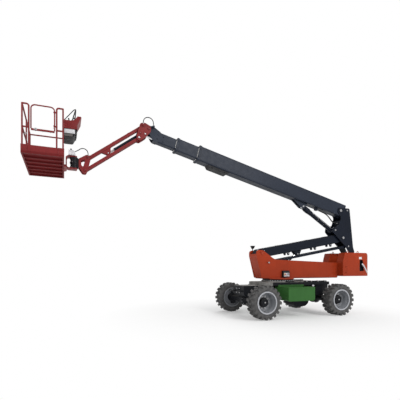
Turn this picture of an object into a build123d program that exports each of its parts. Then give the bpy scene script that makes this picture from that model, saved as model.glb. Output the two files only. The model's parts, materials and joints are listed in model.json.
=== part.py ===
"""Electric self-propelled boom lift: chassis, slewing turntable, riser, telescopic boom, jib and platform.

Millimetres and degrees.  The origin is on the ground midway between the axles, X runs towards the platform,
Y to the left-hand side and Z up.
"""
import os
from functools import cache
from math import atan2, cos, degrees, hypot, pi, radians, sin, sqrt, tan

from build123d import *

os.makedirs("parts", exist_ok=True)

# General fits
fit_gap = 0.3            # between a pin and its bore, and between sliding faces
side_gap = 6.0           # beside a moving plate

# Wheels
wheelbase = 2770.0
overall_width = 2460.0
tyre_diameter = 1010.0
tyre_width = 360.0
tread_width = 280.0      # crown between the shoulders
tread_depth = 40.0       # lug tips above the crown
shoulder_drop = 36.0     # shoulders' outer edge below the crown
sidewall_radius = 395.0  # inner edge of the flat part of a sidewall
tread_lugs = 20          # on each side of a tyre
tread_lug_outer = 80.0   # width of a lug at the shoulder
tread_lug_inner = 50.0   # width of a lug at the middle
tread_lug_gap = 8.0      # lug ends short of the tyre's middle plane
rim_seat_radius = 310.0
rim_flange_radius = 332.0
rim_wall = 14.0
bead_inset = 20.0        # rim flange inside the tyre's widest point
hub_radius = 130.0
dish_radius = 235.0      # foot of the dish at the wheel disc
disc_offset = -60.0      # wheel disc from the wheel's middle plane, outwards
disc_thickness = 24.0
hub_reach = 20.0         # hub end outside the wheel's middle plane

# Axles and steering
kingpin_inset = 150.0    # kingpin inside the wheel's middle plane
kingpin_radius = 35.0
knuckle_half_height = 150.0
yoke_ear = 50.0
axle_root_radius = 112.0
axle_tip_radius = 86.0
pad_width = 150.0        # axle pads under the frame's sides
differential_radius = 190.0
differential_half = 150.0

# Chassis
frame_length = 3300.0
frame_width = 680.0
frame_bottom = 620.0
frame_top = 960.0
frame_wall = 36.0
frame_end_slope = 70.0
deck_front_x = 1000.0
deck_nose_width = 860.0
deck_rear_x = -1500.0
deck_width = 1240.0
deck_top = 1060.0
tray_front_x = 590.0
tray_rear_x = -390.0
tray_inner_y = 480.0
tray_outer_y = 1150.0
tray_bottom = 510.0
tray_top = 930.0
tray_wall = 14.0
tray_corner = 60.0
tray_upstand = 55.0      # inner wall above the tray's rim
battery_height = 330.0
drive_rear_gap = 455.0   # rear axle to the drive unit
drive_length = 630.0
drive_bottom = 225.0
drive_width = 460.0
outrigger_length = 260.0 # bulkhead between a tray and the rear wheel
lug_hole_radius = 25.0
lug_thickness = 30.0
lug_width = 130.0
lug_reach = 120.0
lug_y = 230.0

# Slewing ring and turntable
slew_x = 150.0
slew_radius = 500.0
pedestal_top = 1100.0
ring_top = 1150.0
table_bottom = 1190.0
spine_half_gap = 200.0   # between the side plates and the middle plane
spine_plate = 30.0
spine_rear_x = -2200.0
nose_rise = 100.0        # side plates above the riser's pivot
spine_rear_top = 1700.0
weight_rear_x = -3500.0
weight_slot_end_x = -3220.0
weight_half_width = 480.0
weight_bottom = 1230.0
weight_top = 2050.0
weight_pocket_x = -2960.0
weight_pocket_depth = 90.0

# Riser parallelogram
riser_x = 900.0
riser_z = 1990.0
riser_length = 3460.0
riser_tilt = 10.1
riser_height = 300.0
riser_width = 240.0
riser_pin = 45.0
tie_dx = -240.0
tie_dz = -300.0
tie_inner_y = 90.0
tie_outer_y = 130.0
tie_height = 80.0
tie_pin = 30.0
tie_spacer = 700.0       # spacer between the tie bars, from the upright's end
riser_corner = 28.0
riser_clip_drop = 85.0   # hose clips below the riser arm
riser_clips = (1080.0, 2220.0, 2920.0)
upright_gap = 166.0      # between each upright plate and the middle plane
upright_plate = 22.0
crown_pin = (-183.0, 985.0)  # from the riser's end pin
crown_pin_radius = 30.0

# Riser cylinder
riser_ram_x = 620.0
riser_ram_z = 1330.0
riser_lug_along = 1500.0
riser_lug_drop = 260.0

# Telescopic boom, along and above its pivot line
boom_dx = 115.0
boom_dz = 970.0
boom_tilt = 14.0
boom_pin = 50.0
boom_corner = 34.0       # outer corner radius of each section
guide_back = 1140.0      # rear of the hose carrier, behind the front of the base section
guide_length = 750.0
guide_depth = 80.0
guide_width = 260.0
boom_axis = 45.0         # middle of the sections above the pivot
lift_base_dx = 366.0
lift_base_dz = 263.0
lift_lug_along = 1513.0
lift_lug_drop = 302.0
head_along = 7260.0      # jib root pivot
head_rise = 160.0
head_pin = 35.0

# Jib
jib_root_dx = 185.0
jib_root_dz = 55.0
jib_length = 1810.0
jib_tilt = 36.2          # below level
jib_dx = 90.0
jib_dz = -340.0
jib_height = 90.0
jib_width = 110.0
jib_pin = 30.0
jib_lower_height = 76.0
jib_lower_inner_y = 50.0
jib_lower_outer_y = 80.0
jib_ram_dx = 60.0
jib_ram_dz = -215.0
jib_lug_along = 1251.0
jib_lug_drop = 138.0
level_dx = 98.0
level_dz = -161.0
root_gap = 116.0
head_gap = 92.0
jib_plate = 16.0

# Platform
rotator_x = 6620.0
rotator_bottom = 4170.0
rotator_top = 4450.0
rotator_radius = 105.0
bracket_plate = 35.0
rotator_seat = 115.0     # jib head's face behind the turning axis
platform_rear_x = 6865.0
platform_depth = 930.0
platform_width = 2000.0
floor_top = 4190.0
floor_thickness = 55.0
floor_bay_count = 6
tread_step = 4.0         # tread plate above the floor's edge frame
tread_margin = 80.0      # edge frame round the tread plate
rail_height = 1090.0
mid_rail_height = 560.0
toe_height = 150.0
toe_plate = 8.0
toe_inset = 18.0         # toe boards inside the floor's short edges
foot_length = 130.0      # box feet at the platform's corners
rail_radius = 19.0
gate_stub = 140.0
gate_radius = 15.0
gate_bottom_height = 540.0
gate_gap = 12.0          # between the gate and its posts

# Hoses
tail_hose = 40.0
tail_clip_along = 880.0  # clip under the boom's tail
tail_clip_length = 90.0
tail_clip_drop = 222.0   # hose below the boom's pivot line at the clip
tail_gland_dx = 86.0     # gland in the upright, from the riser's end
tail_gland_dz = 533.0
root_hose = 24.0
root_hose_y = 165.0
root_clip_back = 110.0   # clip on the boom's nose, from the jib root's pivot
root_clip_rise = 120.0
root_gland_dx = 165.0    # gland on the jib root, from its pivot
root_gland_dz = 100.0
root_hose_lift = 52.0    # middle of the hose's arch above the gland
head_hose = 22.0
head_hose_y = 120.0
valve_slope = 28.0       # port of the platform's valve block faces up by this much
gland_wall = 20.0

# Section of each boom stage: start and end along the boom, height, width, wall, front collar length
STAGES = {
    "base": dict(start=-215.0, end=5660.0, height=450.0, width=320.0, wall=10.0),
    "mid": dict(start=420.0, end=6370.0, height=380.0, width=270.0, wall=8.0),
    "fly": dict(start=1200.0, end=7060.0, height=310.0, width=220.0, wall=7.0),
}
collar_length = 70.0
collar_rise = 15.0
pad_length = 100.0

# Cylinder: barrel radius, rod radius, eye half-width, bore of the base pin
RAMS = {
    "riser": dict(barrel=60.0, rod=38.0, eye=35.0, eye_radius=45.0, pin=30.0, base_half=60.0, gland=60.0,
                  reach=1120.0, inside=300.0),
    "lift": dict(barrel=75.0, rod=48.0, eye=45.0, eye_radius=55.0, pin=35.0, base_half=160.0, gland=80.0,
                 reach=1200.0, inside=330.0),
    "jib": dict(barrel=37.0, rod=24.0, eye=22.0, eye_radius=28.0, pin=25.0, base_half=40.0, gland=40.0,
                reach=880.0, inside=180.0),
}


def turned(dx, dz, tilt):
    """A vector in the XZ plane turned so that +X rises by tilt degrees."""
    c, s = cos(radians(tilt)), sin(radians(tilt))
    return dx * c - dz * s, dx * s + dz * c


def shifted(point, dx, dz):
    return point[0] + dx, point[1] + dz


# Pivots in the XZ plane
axle_z = tyre_diameter / 2
wheel_y = (overall_width - tyre_width) / 2
kingpin_y = wheel_y - kingpin_inset
drive_rear_x = drive_rear_gap - wheelbase / 2
drive_front_x = drive_rear_x + drive_length
riser_base = (riser_x, riser_z)
riser_end = shifted(riser_base, *turned(-riser_length, 0, -riser_tilt))
tie_base = shifted(riser_base, tie_dx, tie_dz)
tie_end = shifted(riser_end, tie_dx, tie_dz)
riser_ram_base = (riser_ram_x, riser_ram_z)
riser_ram_eye = shifted(riser_base, *turned(-riser_lug_along, -riser_lug_drop, -riser_tilt))
boom_pivot = shifted(riser_end, boom_dx, boom_dz)
tail_clip = shifted(boom_pivot, *turned(tail_clip_along, -tail_clip_drop, boom_tilt))
tail_gland = shifted(riser_end, tail_gland_dx, tail_gland_dz)
lift_base = shifted(riser_end, lift_base_dx, lift_base_dz)
lift_eye = shifted(boom_pivot, *turned(lift_lug_along, -lift_lug_drop, boom_tilt))
head_pivot = shifted(boom_pivot, *turned(head_along, head_rise, boom_tilt))
level_eye = shifted(head_pivot, level_dx, level_dz)
root_gland = shifted(head_pivot, root_gland_dx, root_gland_dz)
root_clip = shifted(head_pivot, *turned(-root_clip_back, root_clip_rise, boom_tilt))
jib_upper_root = shifted(head_pivot, jib_root_dx, jib_root_dz)
jib_lower_root = shifted(jib_upper_root, jib_dx, jib_dz)
jib_upper_end = shifted(jib_upper_root, *turned(jib_length, 0, -jib_tilt))
jib_lower_end = shifted(jib_upper_end, jib_dx, jib_dz)
jib_ram_base = shifted(jib_upper_root, jib_ram_dx, jib_ram_dz)
jib_ram_eye = shifted(jib_upper_root, *turned(jib_lug_along, -jib_lug_drop, -jib_tilt))
floor_bottom = floor_top - floor_thickness
floor_edge = floor_top - tread_step
rail_top = floor_top + rail_height
rail_mid = floor_top + mid_rail_height
platform_front_x = platform_rear_x + platform_depth
rail_rear_x = platform_rear_x + toe_plate + rail_radius
rail_front_x = platform_front_x - toe_plate - rail_radius
rail_y = platform_width / 2 - toe_inset - toe_plate - rail_radius
gate_hinge_x = rail_rear_x + gate_stub + rail_radius + gate_gap + gate_radius
gate_latch_x = rail_front_x - gate_stub - rail_radius - gate_gap - gate_radius

# Routes of the hoses, from clip to gland
tail_lead = shifted(tail_clip, *turned(-195, 0, boom_tilt))
tail_hose_route = [
    (tail_clip[0], 0, tail_clip[1]),
    (tail_lead[0], 0, tail_lead[1]),
    (tail_clip[0] - 390, 0, tail_clip[1] - 115),
    (tail_clip[0] - 545, 0, tail_clip[1] - 222),
    (tail_gland[0] + 200, 0, tail_gland[1]),
    (tail_gland[0], 0, tail_gland[1]),
]
arch_radius = (root_gland[0] - root_clip[0]) / 2
arch_middle = (root_gland[0] + root_clip[0]) / 2
arch_centre = max(root_gland[1], root_clip[1]) + root_hose_lift
arch_flat = arch_radius * tan(radians(22.5))
root_hose_route = [
    (root_clip[0], root_hose_y, root_clip[1]),
    (root_clip[0], root_hose_y, arch_centre + arch_flat),
    (arch_middle - arch_flat, root_hose_y, arch_centre + arch_radius),
    (arch_middle + arch_flat, root_hose_y, arch_centre + arch_radius),
    (root_gland[0], root_hose_y, arch_centre + arch_flat),
    (root_gland[0], root_hose_y, root_gland[1]),
]
head_gland = shifted(jib_upper_end, 5, 50)
valve_port = shifted((rotator_x, rotator_top), -5, 125)
head_lead = shifted(valve_port, *turned(-105, 0, -valve_slope))
head_hose_route = [
    (head_gland[0], head_hose_y, head_gland[1]),
    (head_gland[0], head_hose_y, head_gland[1] + 100),
    (head_gland[0] + 71, head_hose_y, head_gland[1] + 175),
    (head_gland[0] + 174, head_hose_y, head_gland[1] + 181),
    (head_lead[0], head_hose_y, head_lead[1]),
    (valve_port[0], head_hose_y, valve_port[1]),
]


def block(x, y, z):
    """A box between pairs of low and high values."""
    middle = Pos((x[0] + x[1]) / 2, (y[0] + y[1]) / 2, (z[0] + z[1]) / 2)
    return middle * Box(x[1] - x[0], y[1] - y[0], z[1] - z[0])


def across(point, radius, y):
    """A cylinder along Y at a point of the XZ plane."""
    return Pos(point[0], (y[0] + y[1]) / 2, point[1]) * Rot(90, 0, 0) * Cylinder(radius, y[1] - y[0])


def even(half):
    return -half, half


def both(inner, outer):
    """The same span on the left and on the right."""
    return (inner, outer), (-outer, -inner)


def slab(outline, y):
    """An outline of (x, z) points made thick across Y."""
    edge = Polyline(*[(px, y[0], pz) for px, pz in outline], close=True)
    return extrude(make_face(edge), amount=y[1] - y[0], dir=(0, 1, 0))


def rounded(rows, place):
    """A face from rows of (u, v, corner radius), each point set in space by place."""
    edge = FilletPolyline(*[place(u, v) for u, v, _ in rows], radius=[r for _, _, r in rows], close=True)
    return make_face(edge)


def plate(rows, y):
    """A rounded outline of (x, z, corner radius) rows made thick across Y."""
    return extrude(rounded(rows, lambda px, pz: (px, y[0], pz)), amount=y[1] - y[0], dir=(0, 1, 0))


def layer(rows, z):
    """A rounded outline of (x, y, corner radius) rows made thick upwards."""
    return extrude(rounded(rows, lambda px, py: (px, py, z[0])), amount=z[1] - z[0], dir=(0, 0, 1))


def moved(rows, point):
    """Outline rows given from a pivot, set at that pivot."""
    return [(point[0] + dx, point[1] + dz, r) for dx, dz, r in rows]


def beam(x, width, z, corner):
    """A bar along X with a rounded rectangular section."""
    section = Plane(origin=(x[0], 0, (z[0] + z[1]) / 2), x_dir=(0, 1, 0), z_dir=(1, 0, 0))
    return extrude(section * RectangleRounded(width, z[1] - z[0], corner), amount=x[1] - x[0])


def tapered(x, z, inner, outer, y):
    """A round taper along Y: radius inner at y[0] and outer at y[1]."""
    along = Plane(origin=(x, y[0], z), z_dir=(0, y[1] - y[0], 0))
    length = abs(y[1] - y[0])
    return along * Pos(0, 0, length / 2) * Cone(inner, outer, length)


def bar(start, end, radius):
    """A round bar between two points."""
    axis = Vector(*end) - Vector(*start)
    return Plane(origin=start, z_dir=axis) * Pos(0, 0, axis.length / 2) * Cylinder(radius, axis.length)


def bent(points, radius, bend):
    """A round tube along straight runs joined by arcs."""
    path = FilletPolyline(*points, radius=bend)
    return sweep(Plane(origin=path @ 0, z_dir=path % 0) * Circle(radius), path=path)


def hose(name, points, diameter):
    """A hose along a route of points, each bend as wide as its two runs allow."""
    runs = [Vector(*b) - Vector(*a) for a, b in zip(points, points[1:])]
    corners = list(zip(runs, runs[1:]))
    bends = [0.45 * min(a.length, b.length) / tan(radians(a.get_angle(b) / 2)) for a, b in corners]
    print(name, "bend radii", [round(bend) for bend in bends])
    path = FilletPolyline(*points, radius=bends)
    return sweep(Plane(origin=path @ 0, z_dir=path % 0) * Circle(diameter / 2), path=path)


def spun(profile, centre_y, side):
    """A wheel piece: (radius, offset) points turned about the wheel's axle, offset outwards."""
    edge = Polyline(*[(r, 0, w) for r, w in profile], close=True)
    solid = revolve(make_face(edge), axis=Axis.Z)
    return Pos(0, side * centre_y, axle_z) * Rot(-90 * side, 0, 0) * solid


def placed(point, tilt):
    """The frame of a boom, arm or link at its pivot, its +X rising by tilt degrees."""
    return Pos(point[0], 0, point[1]) * Rot(0, -tilt, 0)


def joined(*pieces):
    whole = pieces[0]
    for piece in pieces[1:]:
        whole = whole + piece
    return whole


# Chassis


def chassis_frame():
    half, side = frame_length / 2, frame_width / 2
    slope, low = frame_end_slope, frame_bottom
    whole = plate([(-half, low + slope, 40), (slope - half, low, 40), (half - slope, low, 40),
                   (half, low + slope, 40), (half, frame_top, 30), (-half, frame_top, 30)], even(side))
    front_bay = (drive_front_x + frame_wall, wheelbase / 2 - pad_width)
    rear_bay = (pad_width - wheelbase / 2, drive_rear_x - frame_wall)
    for bay in (front_bay, rear_bay):
        whole -= block(bay, even(side - frame_wall), (frame_bottom - 1, frame_top - frame_wall))
    corner, nose = deck_width / 2, deck_nose_width / 2
    taper = corner - nose
    rows = [(deck_rear_x, corner, 80), (deck_front_x - taper, corner, 80), (deck_front_x, nose, 60)]
    whole += layer(rows + [(px, -py, r) for px, py, r in reversed(rows)], (frame_top, deck_top))
    pedestal = Cylinder(slew_radius + 40, pedestal_top - deck_top)
    whole += Pos(slew_x, 0, (deck_top + pedestal_top) / 2) * pedestal
    hanger = 120.0
    for y in both(side, tray_inner_y):
        for x in (tray_front_x - 2 * hanger, tray_rear_x + hanger):
            whole += block((x, x + hanger), y, (frame_bottom, tray_top - 40))
    for y in both(side, corner - frame_wall):
        whole += block((drive_rear_x - outrigger_length, drive_rear_x), y, (frame_bottom - 20, frame_top))
    return whole


def tie_down_lugs():
    z = (frame_bottom + frame_top) / 2
    lugs = []
    for side in (1, -1):
        for y in (lug_y, -lug_y):
            start = side * frame_length / 2
            lug = block(sorted((start, start + side * lug_reach)), (y - lug_width / 2, y + lug_width / 2),
                        (z - lug_thickness / 2, z + lug_thickness / 2))
            hole = Pos(start + side * lug_reach / 2, y, z) * Cylinder(lug_hole_radius, 2 * lug_thickness)
            lugs.append(lug - hole)
    return Compound(children=lugs)


def axle(x, end_y):
    half, root = differential_half, axle_root_radius
    banjo = [(0, -half), (root, -half), (differential_radius, -half / 2), (differential_radius, half / 2),
             (root, half), (0, half)]
    whole = Pos(x, 0, 0) * spun(banjo, 0, 1)
    for side in (1, -1):
        whole += tapered(x, axle_z, root, axle_tip_radius, (side * half / 2, side * end_y))
    for y in both(frame_width / 2 - pad_width, frame_width / 2):
        whole += block((x - pad_width / 2, x + pad_width / 2), y, (axle_z, frame_bottom))
    radius = differential_radius
    return whole - block((x - radius, x + radius), even(frame_width), (frame_bottom, axle_z + 2 * radius))


def front_axle():
    x = wheelbase / 2
    web_y = kingpin_y - 70
    top = knuckle_half_height + yoke_ear
    whole = axle(x, web_y - 10)
    for side in (1, -1):
        web = sorted((side * (web_y - 60), side * web_y))
        whole += block((x - 60, x + 60), web, (axle_z - top, axle_z + top))
        for z in (axle_z - top, axle_z + knuckle_half_height):
            ear = block((x - 60, x + 60), sorted((side * web_y, side * kingpin_y)), (z, z + yoke_ear))
            ear += Pos(x, side * kingpin_y, z + yoke_ear / 2) * Cylinder(60, yoke_ear)
            hole = Cylinder(kingpin_radius + fit_gap, 2 * yoke_ear)
            whole += ear - Pos(x, side * kingpin_y, z + yoke_ear / 2) * hole
    return whole


def rear_axle():
    x, end = -wheelbase / 2, wheel_y - kingpin_inset
    whole = axle(x, end)
    for side in (1, -1):
        whole += across((x, axle_z), hub_radius, sorted((side * (end - 60), side * (wheel_y + hub_reach))))
        whole += across((x, axle_z), hub_radius + 60, sorted((side * (end - 40), side * (end + 40))))
    return whole


def knuckle(side):
    x, y = wheelbase / 2, side * kingpin_y
    flange_y = kingpin_y + 78
    boss = Pos(x, y, axle_z) * Cylinder(60, 2 * (knuckle_half_height - fit_gap))
    pin = Pos(x, y, axle_z) * Cylinder(kingpin_radius, 2 * (knuckle_half_height + yoke_ear))
    hub = across((x, axle_z), hub_radius, sorted((side * flange_y, side * (wheel_y + hub_reach))))
    neck = tapered(x, axle_z, 90, 125, (y, side * flange_y))
    return boss + pin + hub + neck


@cache
def tyre_blank():
    """A lugged tyre about the Z axis, its outer side up.

    Flat lug tops have their outermost corners on one circle, and the ring of corners stands on the ground.
    """
    sides, half = 2 * tread_lugs, tyre_width / 2
    step = pi / sides
    tip = tyre_diameter / 2 / cos(step / 2)
    reach = tip * sin(1.5 * step)
    top = sqrt(tip ** 2 - reach ** 2)
    crown = tyre_diameter / 2 - tread_depth
    shoulder, bore = crown - shoulder_drop, (rim_seat_radius + fit_gap) / cos(step)
    bead = half - bead_inset - 10

    def ring(z, radius):
        return Pos(0, 0, z) * RegularPolygon(radius, sides)

    def frustum(low, high, low_radius, high_radius):
        return loft([ring(low, low_radius), ring(high, high_radius)], ruled=True)

    whole = extrude(ring(-tread_width / 2, crown), amount=tread_width)
    for side in (1, -1):
        whole += frustum(side * tread_width / 2, side * half, crown, shoulder)
    whole -= extrude(ring(-half, bore), amount=tyre_width)
    for side in (1, -1):
        whole -= frustum(side * bead, side * half, bore, sidewall_radius)
    outer = half - 8
    footprint = [(-reach, outer), (tread_lug_outer - reach, outer), (reach, tread_lug_gap),
                 (reach - tread_lug_inner, tread_lug_gap)]
    lugs = []
    for row, side in enumerate((1, -1)):
        base = shoulder - 20
        face = make_face(Polyline(*[(base, t, side * w) for t, w in footprint], close=True))
        lug = extrude(face, amount=top - base, dir=(1, 0, 0))
        for index in range(tread_lugs):
            lugs.append(Rot(0, 0, degrees((2 * index + row) * 2 * step)) * lug)
    return whole.fuse(*lugs)


def tyre(x, side):
    """The blank set on its wheel, turned so that two lug corners stand on the ground."""
    return Pos(x, side * wheel_y, axle_z) * Rot(-90 * side, 0, 0) * Rot(0, 0, 90 * side) * tyre_blank()


def rim(x, side):
    half = tyre_width / 2 - bead_inset + fit_gap
    seat, inner, lip = rim_seat_radius, rim_seat_radius - rim_wall, 14.0
    disc_in, disc_out = disc_offset, disc_offset + disc_thickness
    bore = hub_radius + fit_gap
    flange = rim_flange_radius
    profile = [(bore, disc_in), (dish_radius, disc_in), (inner - 30, disc_in - 30), (inner, disc_in - 60),
               (inner, -half - lip), (flange, -half - lip), (flange, -half), (seat, -half),
               (seat, half), (flange, half), (flange, half + lip), (inner, half + lip),
               (inner - 12, half - 50), (dish_radius + 20, disc_out + 40), (dish_radius, disc_out),
               (bore, disc_out)]
    return Pos(x, 0, 0) * spun(profile, wheel_y, side)


def battery_trays():
    trays = []
    rear, front, low, wall = tray_rear_x, tray_front_x, tray_bottom, tray_wall
    outside = [(rear, tray_top, 0), (rear, low, tray_corner), (front, low, tray_corner), (front, tray_top, 0)]
    inner_corner = tray_corner - wall
    inside = [(rear + wall, tray_top + 1, 0), (rear + wall, low + wall, inner_corner),
              (front - wall, low + wall, inner_corner), (front - wall, tray_top + 1, 0)]
    upstand_y = deck_width / 2 + side_gap
    upstands = both(upstand_y, upstand_y + wall)
    for y, upstand in zip(both(tray_inner_y, tray_outer_y), upstands):
        shell = plate(outside, y) - plate(inside, (y[0] + wall, y[1] - wall))
        shell += block((rear, front), upstand, (tray_top - tray_upstand, tray_top + tray_upstand))
        trays.append(shell)
    return Compound(children=trays)


def battery_packs():
    rear, front, low = tray_rear_x + 2 * tray_wall, tray_front_x - 2 * tray_wall, tray_bottom + tray_wall
    rows = [(rear, low, tray_corner), (front, low, tray_corner), (front, low + battery_height, 8),
            (rear, low + battery_height, 8)]
    sides = both(tray_inner_y + 2 * tray_wall, tray_outer_y - 2 * tray_wall)
    return Compound(children=[plate(rows, y) for y in sides])


def drive_unit():
    front, rear, low, top = drive_front_x, drive_rear_x, drive_bottom, frame_bottom
    rows = [(front, top, 0), (front, low + 60, 120), (front - 110, low, 120), (rear + 150, low, 160),
            (rear, low + 100, 140), (rear, top, 0)]
    return plate(rows, even(drive_width / 2))


def drive_shafts():
    reach = wheelbase / 2 - differential_radius
    front = bar((drive_front_x, 0, axle_z), (reach, 0, axle_z), 35)
    rear = bar((drive_rear_x, 0, axle_z), (-reach, 0, axle_z), 35)
    return Compound(children=[front, rear])


def slew_ring():
    height = ring_top - pedestal_top
    ring = Cylinder(slew_radius, height) - Cylinder(slew_radius - 120, height)
    return Pos(slew_x, 0, (pedestal_top + ring_top) / 2) * ring


# Turntable


def turntable_frame():
    foot_x, nose_x, knee_z = riser_x + 30, riser_x + 220, riser_z - 90
    hump = riser_z + nose_rise
    rows = [(foot_x, table_bottom, 40), (nose_x, knee_z, 160), (nose_x, hump, 90), (riser_x - 20, hump, 170),
            (riser_x - 470, riser_z - 200, 420), (spine_rear_x, spine_rear_top, 0),
            (spine_rear_x, table_bottom, 0)]
    base = ring_top + fit_gap
    whole = Pos(slew_x, 0, (base + table_bottom) / 2) * Cylinder(slew_radius + 20, table_bottom - base)
    whole += block((spine_rear_x, foot_x - 40), even(spine_half_gap), (table_bottom - 20, table_bottom + 30))
    for y in both(spine_half_gap, spine_half_gap + spine_plate):
        whole += plate(rows, y)
    front = [(foot_x - 14, table_bottom + 20), (nose_x, knee_z), (nose_x, hump - 120),
             (nose_x - 20, hump - 120), (nose_x - 20, knee_z), (foot_x - 34, table_bottom + 20)]
    whole += slab(front, even(spine_half_gap))
    for x in (spine_rear_x + 500, spine_rear_x + 1300):
        whole += block((x - spine_plate / 2, x + spine_plate / 2), even(spine_half_gap),
                       (table_bottom + 30, table_bottom + 210))
    pin_end = spine_half_gap + spine_plate + 12
    for pivot, radius in ((riser_base, riser_pin), (tie_base, tie_pin)):
        whole += across(pivot, radius, even(pin_end))
        for y in both(spine_half_gap + spine_plate, pin_end - 6):
            whole += across(pivot, radius + 22, y)
    ram = RAMS["riser"]
    lug = [(riser_ram_x - 110, table_bottom + 30, 0), (riser_ram_x + 110, table_bottom + 30, 0),
           (riser_ram_x + 50, riser_ram_z + 50, 45), (riser_ram_x - 50, riser_ram_z + 50, 45)]
    for y in both(ram["base_half"] + side_gap, ram["base_half"] + side_gap + 25):
        whole += plate(lug, y)
    return whole + across(riser_ram_base, ram["pin"], even(ram["base_half"] + side_gap))


def counterweight():
    front, rear, slot, half = spine_rear_x, weight_rear_x, weight_slot_end_x, weight_half_width
    gap = spine_half_gap
    rows = [(front, -half, 20), (rear, -half, 260), (rear, half, 260), (front, half, 20), (front, gap, 0),
            (slot, gap, 0), (slot, -gap, 0), (front, -gap, 0)]
    whole = layer(rows, (weight_bottom, weight_top))
    rise, fall, reach = 190.0, 130.0, half + 1
    low, top = weight_bottom, weight_top
    crown = plate([(rear, low + fall, 30), (rear + 90, low, 60), (front, low, 0), (front, top - 300, 0),
                   (front - 90, top, 40), (rear + rise, top, 160), (rear, top - rise, 160)], even(reach))
    whole = whole & crown
    for y in both(half - weight_pocket_depth, reach):
        pocket = [(0, 1400, 30), (0, 1800, 30), (-150, 1800, 30), (-210, 1400, 30)]
        whole -= plate(moved(pocket, (weight_pocket_x, 0)), y)
    return whole


def ground_controls():
    y = spine_half_gap + spine_plate
    x, low = riser_x - 980, table_bottom + 25
    rows = [(y, low, 10), (y + 90, low, 14), (y + 100, low + 150, 14), (y + 70, low + 205, 14),
            (y, low + 205, 10)]
    face = rounded(rows, lambda py, pz: (x, py, pz))
    return extrude(face, amount=240, dir=(1, 0, 0))


def beacon():
    place = Pos(riser_x + 90, -spine_half_gap - spine_plate / 2, riser_z + nose_rise)
    return place * (Pos(0, 0, 30) * Cylinder(14, 60) + Pos(0, 0, 105) * Cone(30, 80, 90))


# Riser


def riser_arm():
    half, wide = riser_height / 2, riser_width / 2
    fork, wall = riser_length - 330, 12.0
    whole = beam((-fork, -half / 2), riser_width, even(half), riser_corner) + across((0, 0), half, even(wide))
    whole -= beam((wall - fork, -half - wall), riser_width - 2 * wall, even(half - wall), riser_corner - wall)
    ear = half - 20
    tip = -riser_length - ear
    for y in both(wide - 40, wide):
        whole += plate([(-fork, -half, 0), (-fork, half, 0), (-fork - 150, ear, 90), (tip, ear, ear - 1),
                        (tip, -ear, ear - 1), (-fork - 150, -ear, 90)], y)
    eye = RAMS["riser"]["eye"] + side_gap
    for y in both(eye, eye + 20):
        whole += plate([(-riser_lug_along - 170, -half, 0), (-riser_lug_along + 170, -half, 0),
                        (-riser_lug_along + 55, -riser_lug_drop - 55, 50),
                        (-riser_lug_along - 55, -riser_lug_drop - 55, 50)], y)
    for along in riser_clips:
        for y in both(wide - 50, wide):
            low = -half - riser_clip_drop
            whole += plate([(-along - 45, -half, 0), (-along + 45, -half, 0), (-along + 20, low, 16),
                            (-along - 20, low, 16)], y)
    for along in (0, riser_length):
        whole -= across((-along, 0), riser_pin + fit_gap, even(wide + 1))
    return placed(riser_base, -riser_tilt) * whole


def riser_tie():
    half = tie_height / 2
    ends = ((0, 0), (-riser_length, 0))
    whole = joined(*[across(end, half + 10, even(tie_outer_y)) for end in ends])
    for y in both(tie_inner_y, tie_outer_y):
        whole += block((-riser_length, 0), y, even(half))
    whole += across((tie_spacer - riser_length, 0), half - 12, even(tie_outer_y))
    for end in ends:
        whole -= across(end, tie_pin + fit_gap, even(tie_outer_y + 1))
    return placed(tie_base, -riser_tilt) * whole


def upright():
    rows = [(-295, 1065, 60), (215, 1065, 70), (235, 920, 60), (85, 735, 120), (175, 465, 90),
            (325, 385, 60), (465, 355, 70), (485, 205, 70), (395, 125, 40), (-115, -315, 120),
            (-295, -555, 60), (-555, -555, 60), (-465, -335, 150)]
    outer = upright_gap + upright_plate
    boss = 12.0
    whole = across(riser_end, riser_pin, even(upright_gap))
    pins = ((riser_end, riser_pin), (tie_end, tie_pin), (boom_pivot, boom_pin),
            (lift_base, RAMS["lift"]["pin"]), (shifted(riser_end, *crown_pin), crown_pin_radius))
    for y in both(upright_gap, outer):
        whole += plate(moved(rows, riser_end), y)
    for y in both(outer, outer + boss):
        for point, radius in pins:
            whole += across(point, radius + 15, y)
    back = [(-305, 960), (-325, 960), (-480, -335), (-455, -335)]
    whole += slab([shifted(riser_end, *corner) for corner in back], even(upright_gap))
    gland_x, gland_z = tail_gland
    whole += block((gland_x - gland_wall, gland_x), even(upright_gap), (gland_z - 90, gland_z + 90))
    for point, radius in pins[1:4]:
        whole += across(point, radius, even(outer))
    return whole


# Telescopic boom


def stage_box(stage, span, grow=0.0):
    """A rounded box on the boom's middle line, the section's size plus a margin all round."""
    half = stage["height"] / 2 + grow
    return beam(span, stage["width"] + 2 * grow, (boom_axis - half, boom_axis + half), boom_corner + grow)


def stage_tube(stage):
    span = (stage["start"], stage["end"])
    return stage_box(stage, span) - stage_box(stage, (span[0] - 1, span[1] + 1), -stage["wall"])


def collar(stage, inner):
    """The front collar that guides the next section."""
    span = (stage["end"] - collar_length, stage["end"])
    return stage_box(stage, span, collar_rise) - stage_box(inner, (span[0] - 1, span[1] + 1), fit_gap)


def rear_pad(stage, outer):
    """The pad ring at a section's rear end that rides in the section outside it."""
    span = (stage["start"], stage["start"] + pad_length)
    return stage_box(outer, span, -outer["wall"] - fit_gap) - stage_box(stage, (span[0] - 1, span[1] + 1), -1)


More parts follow.
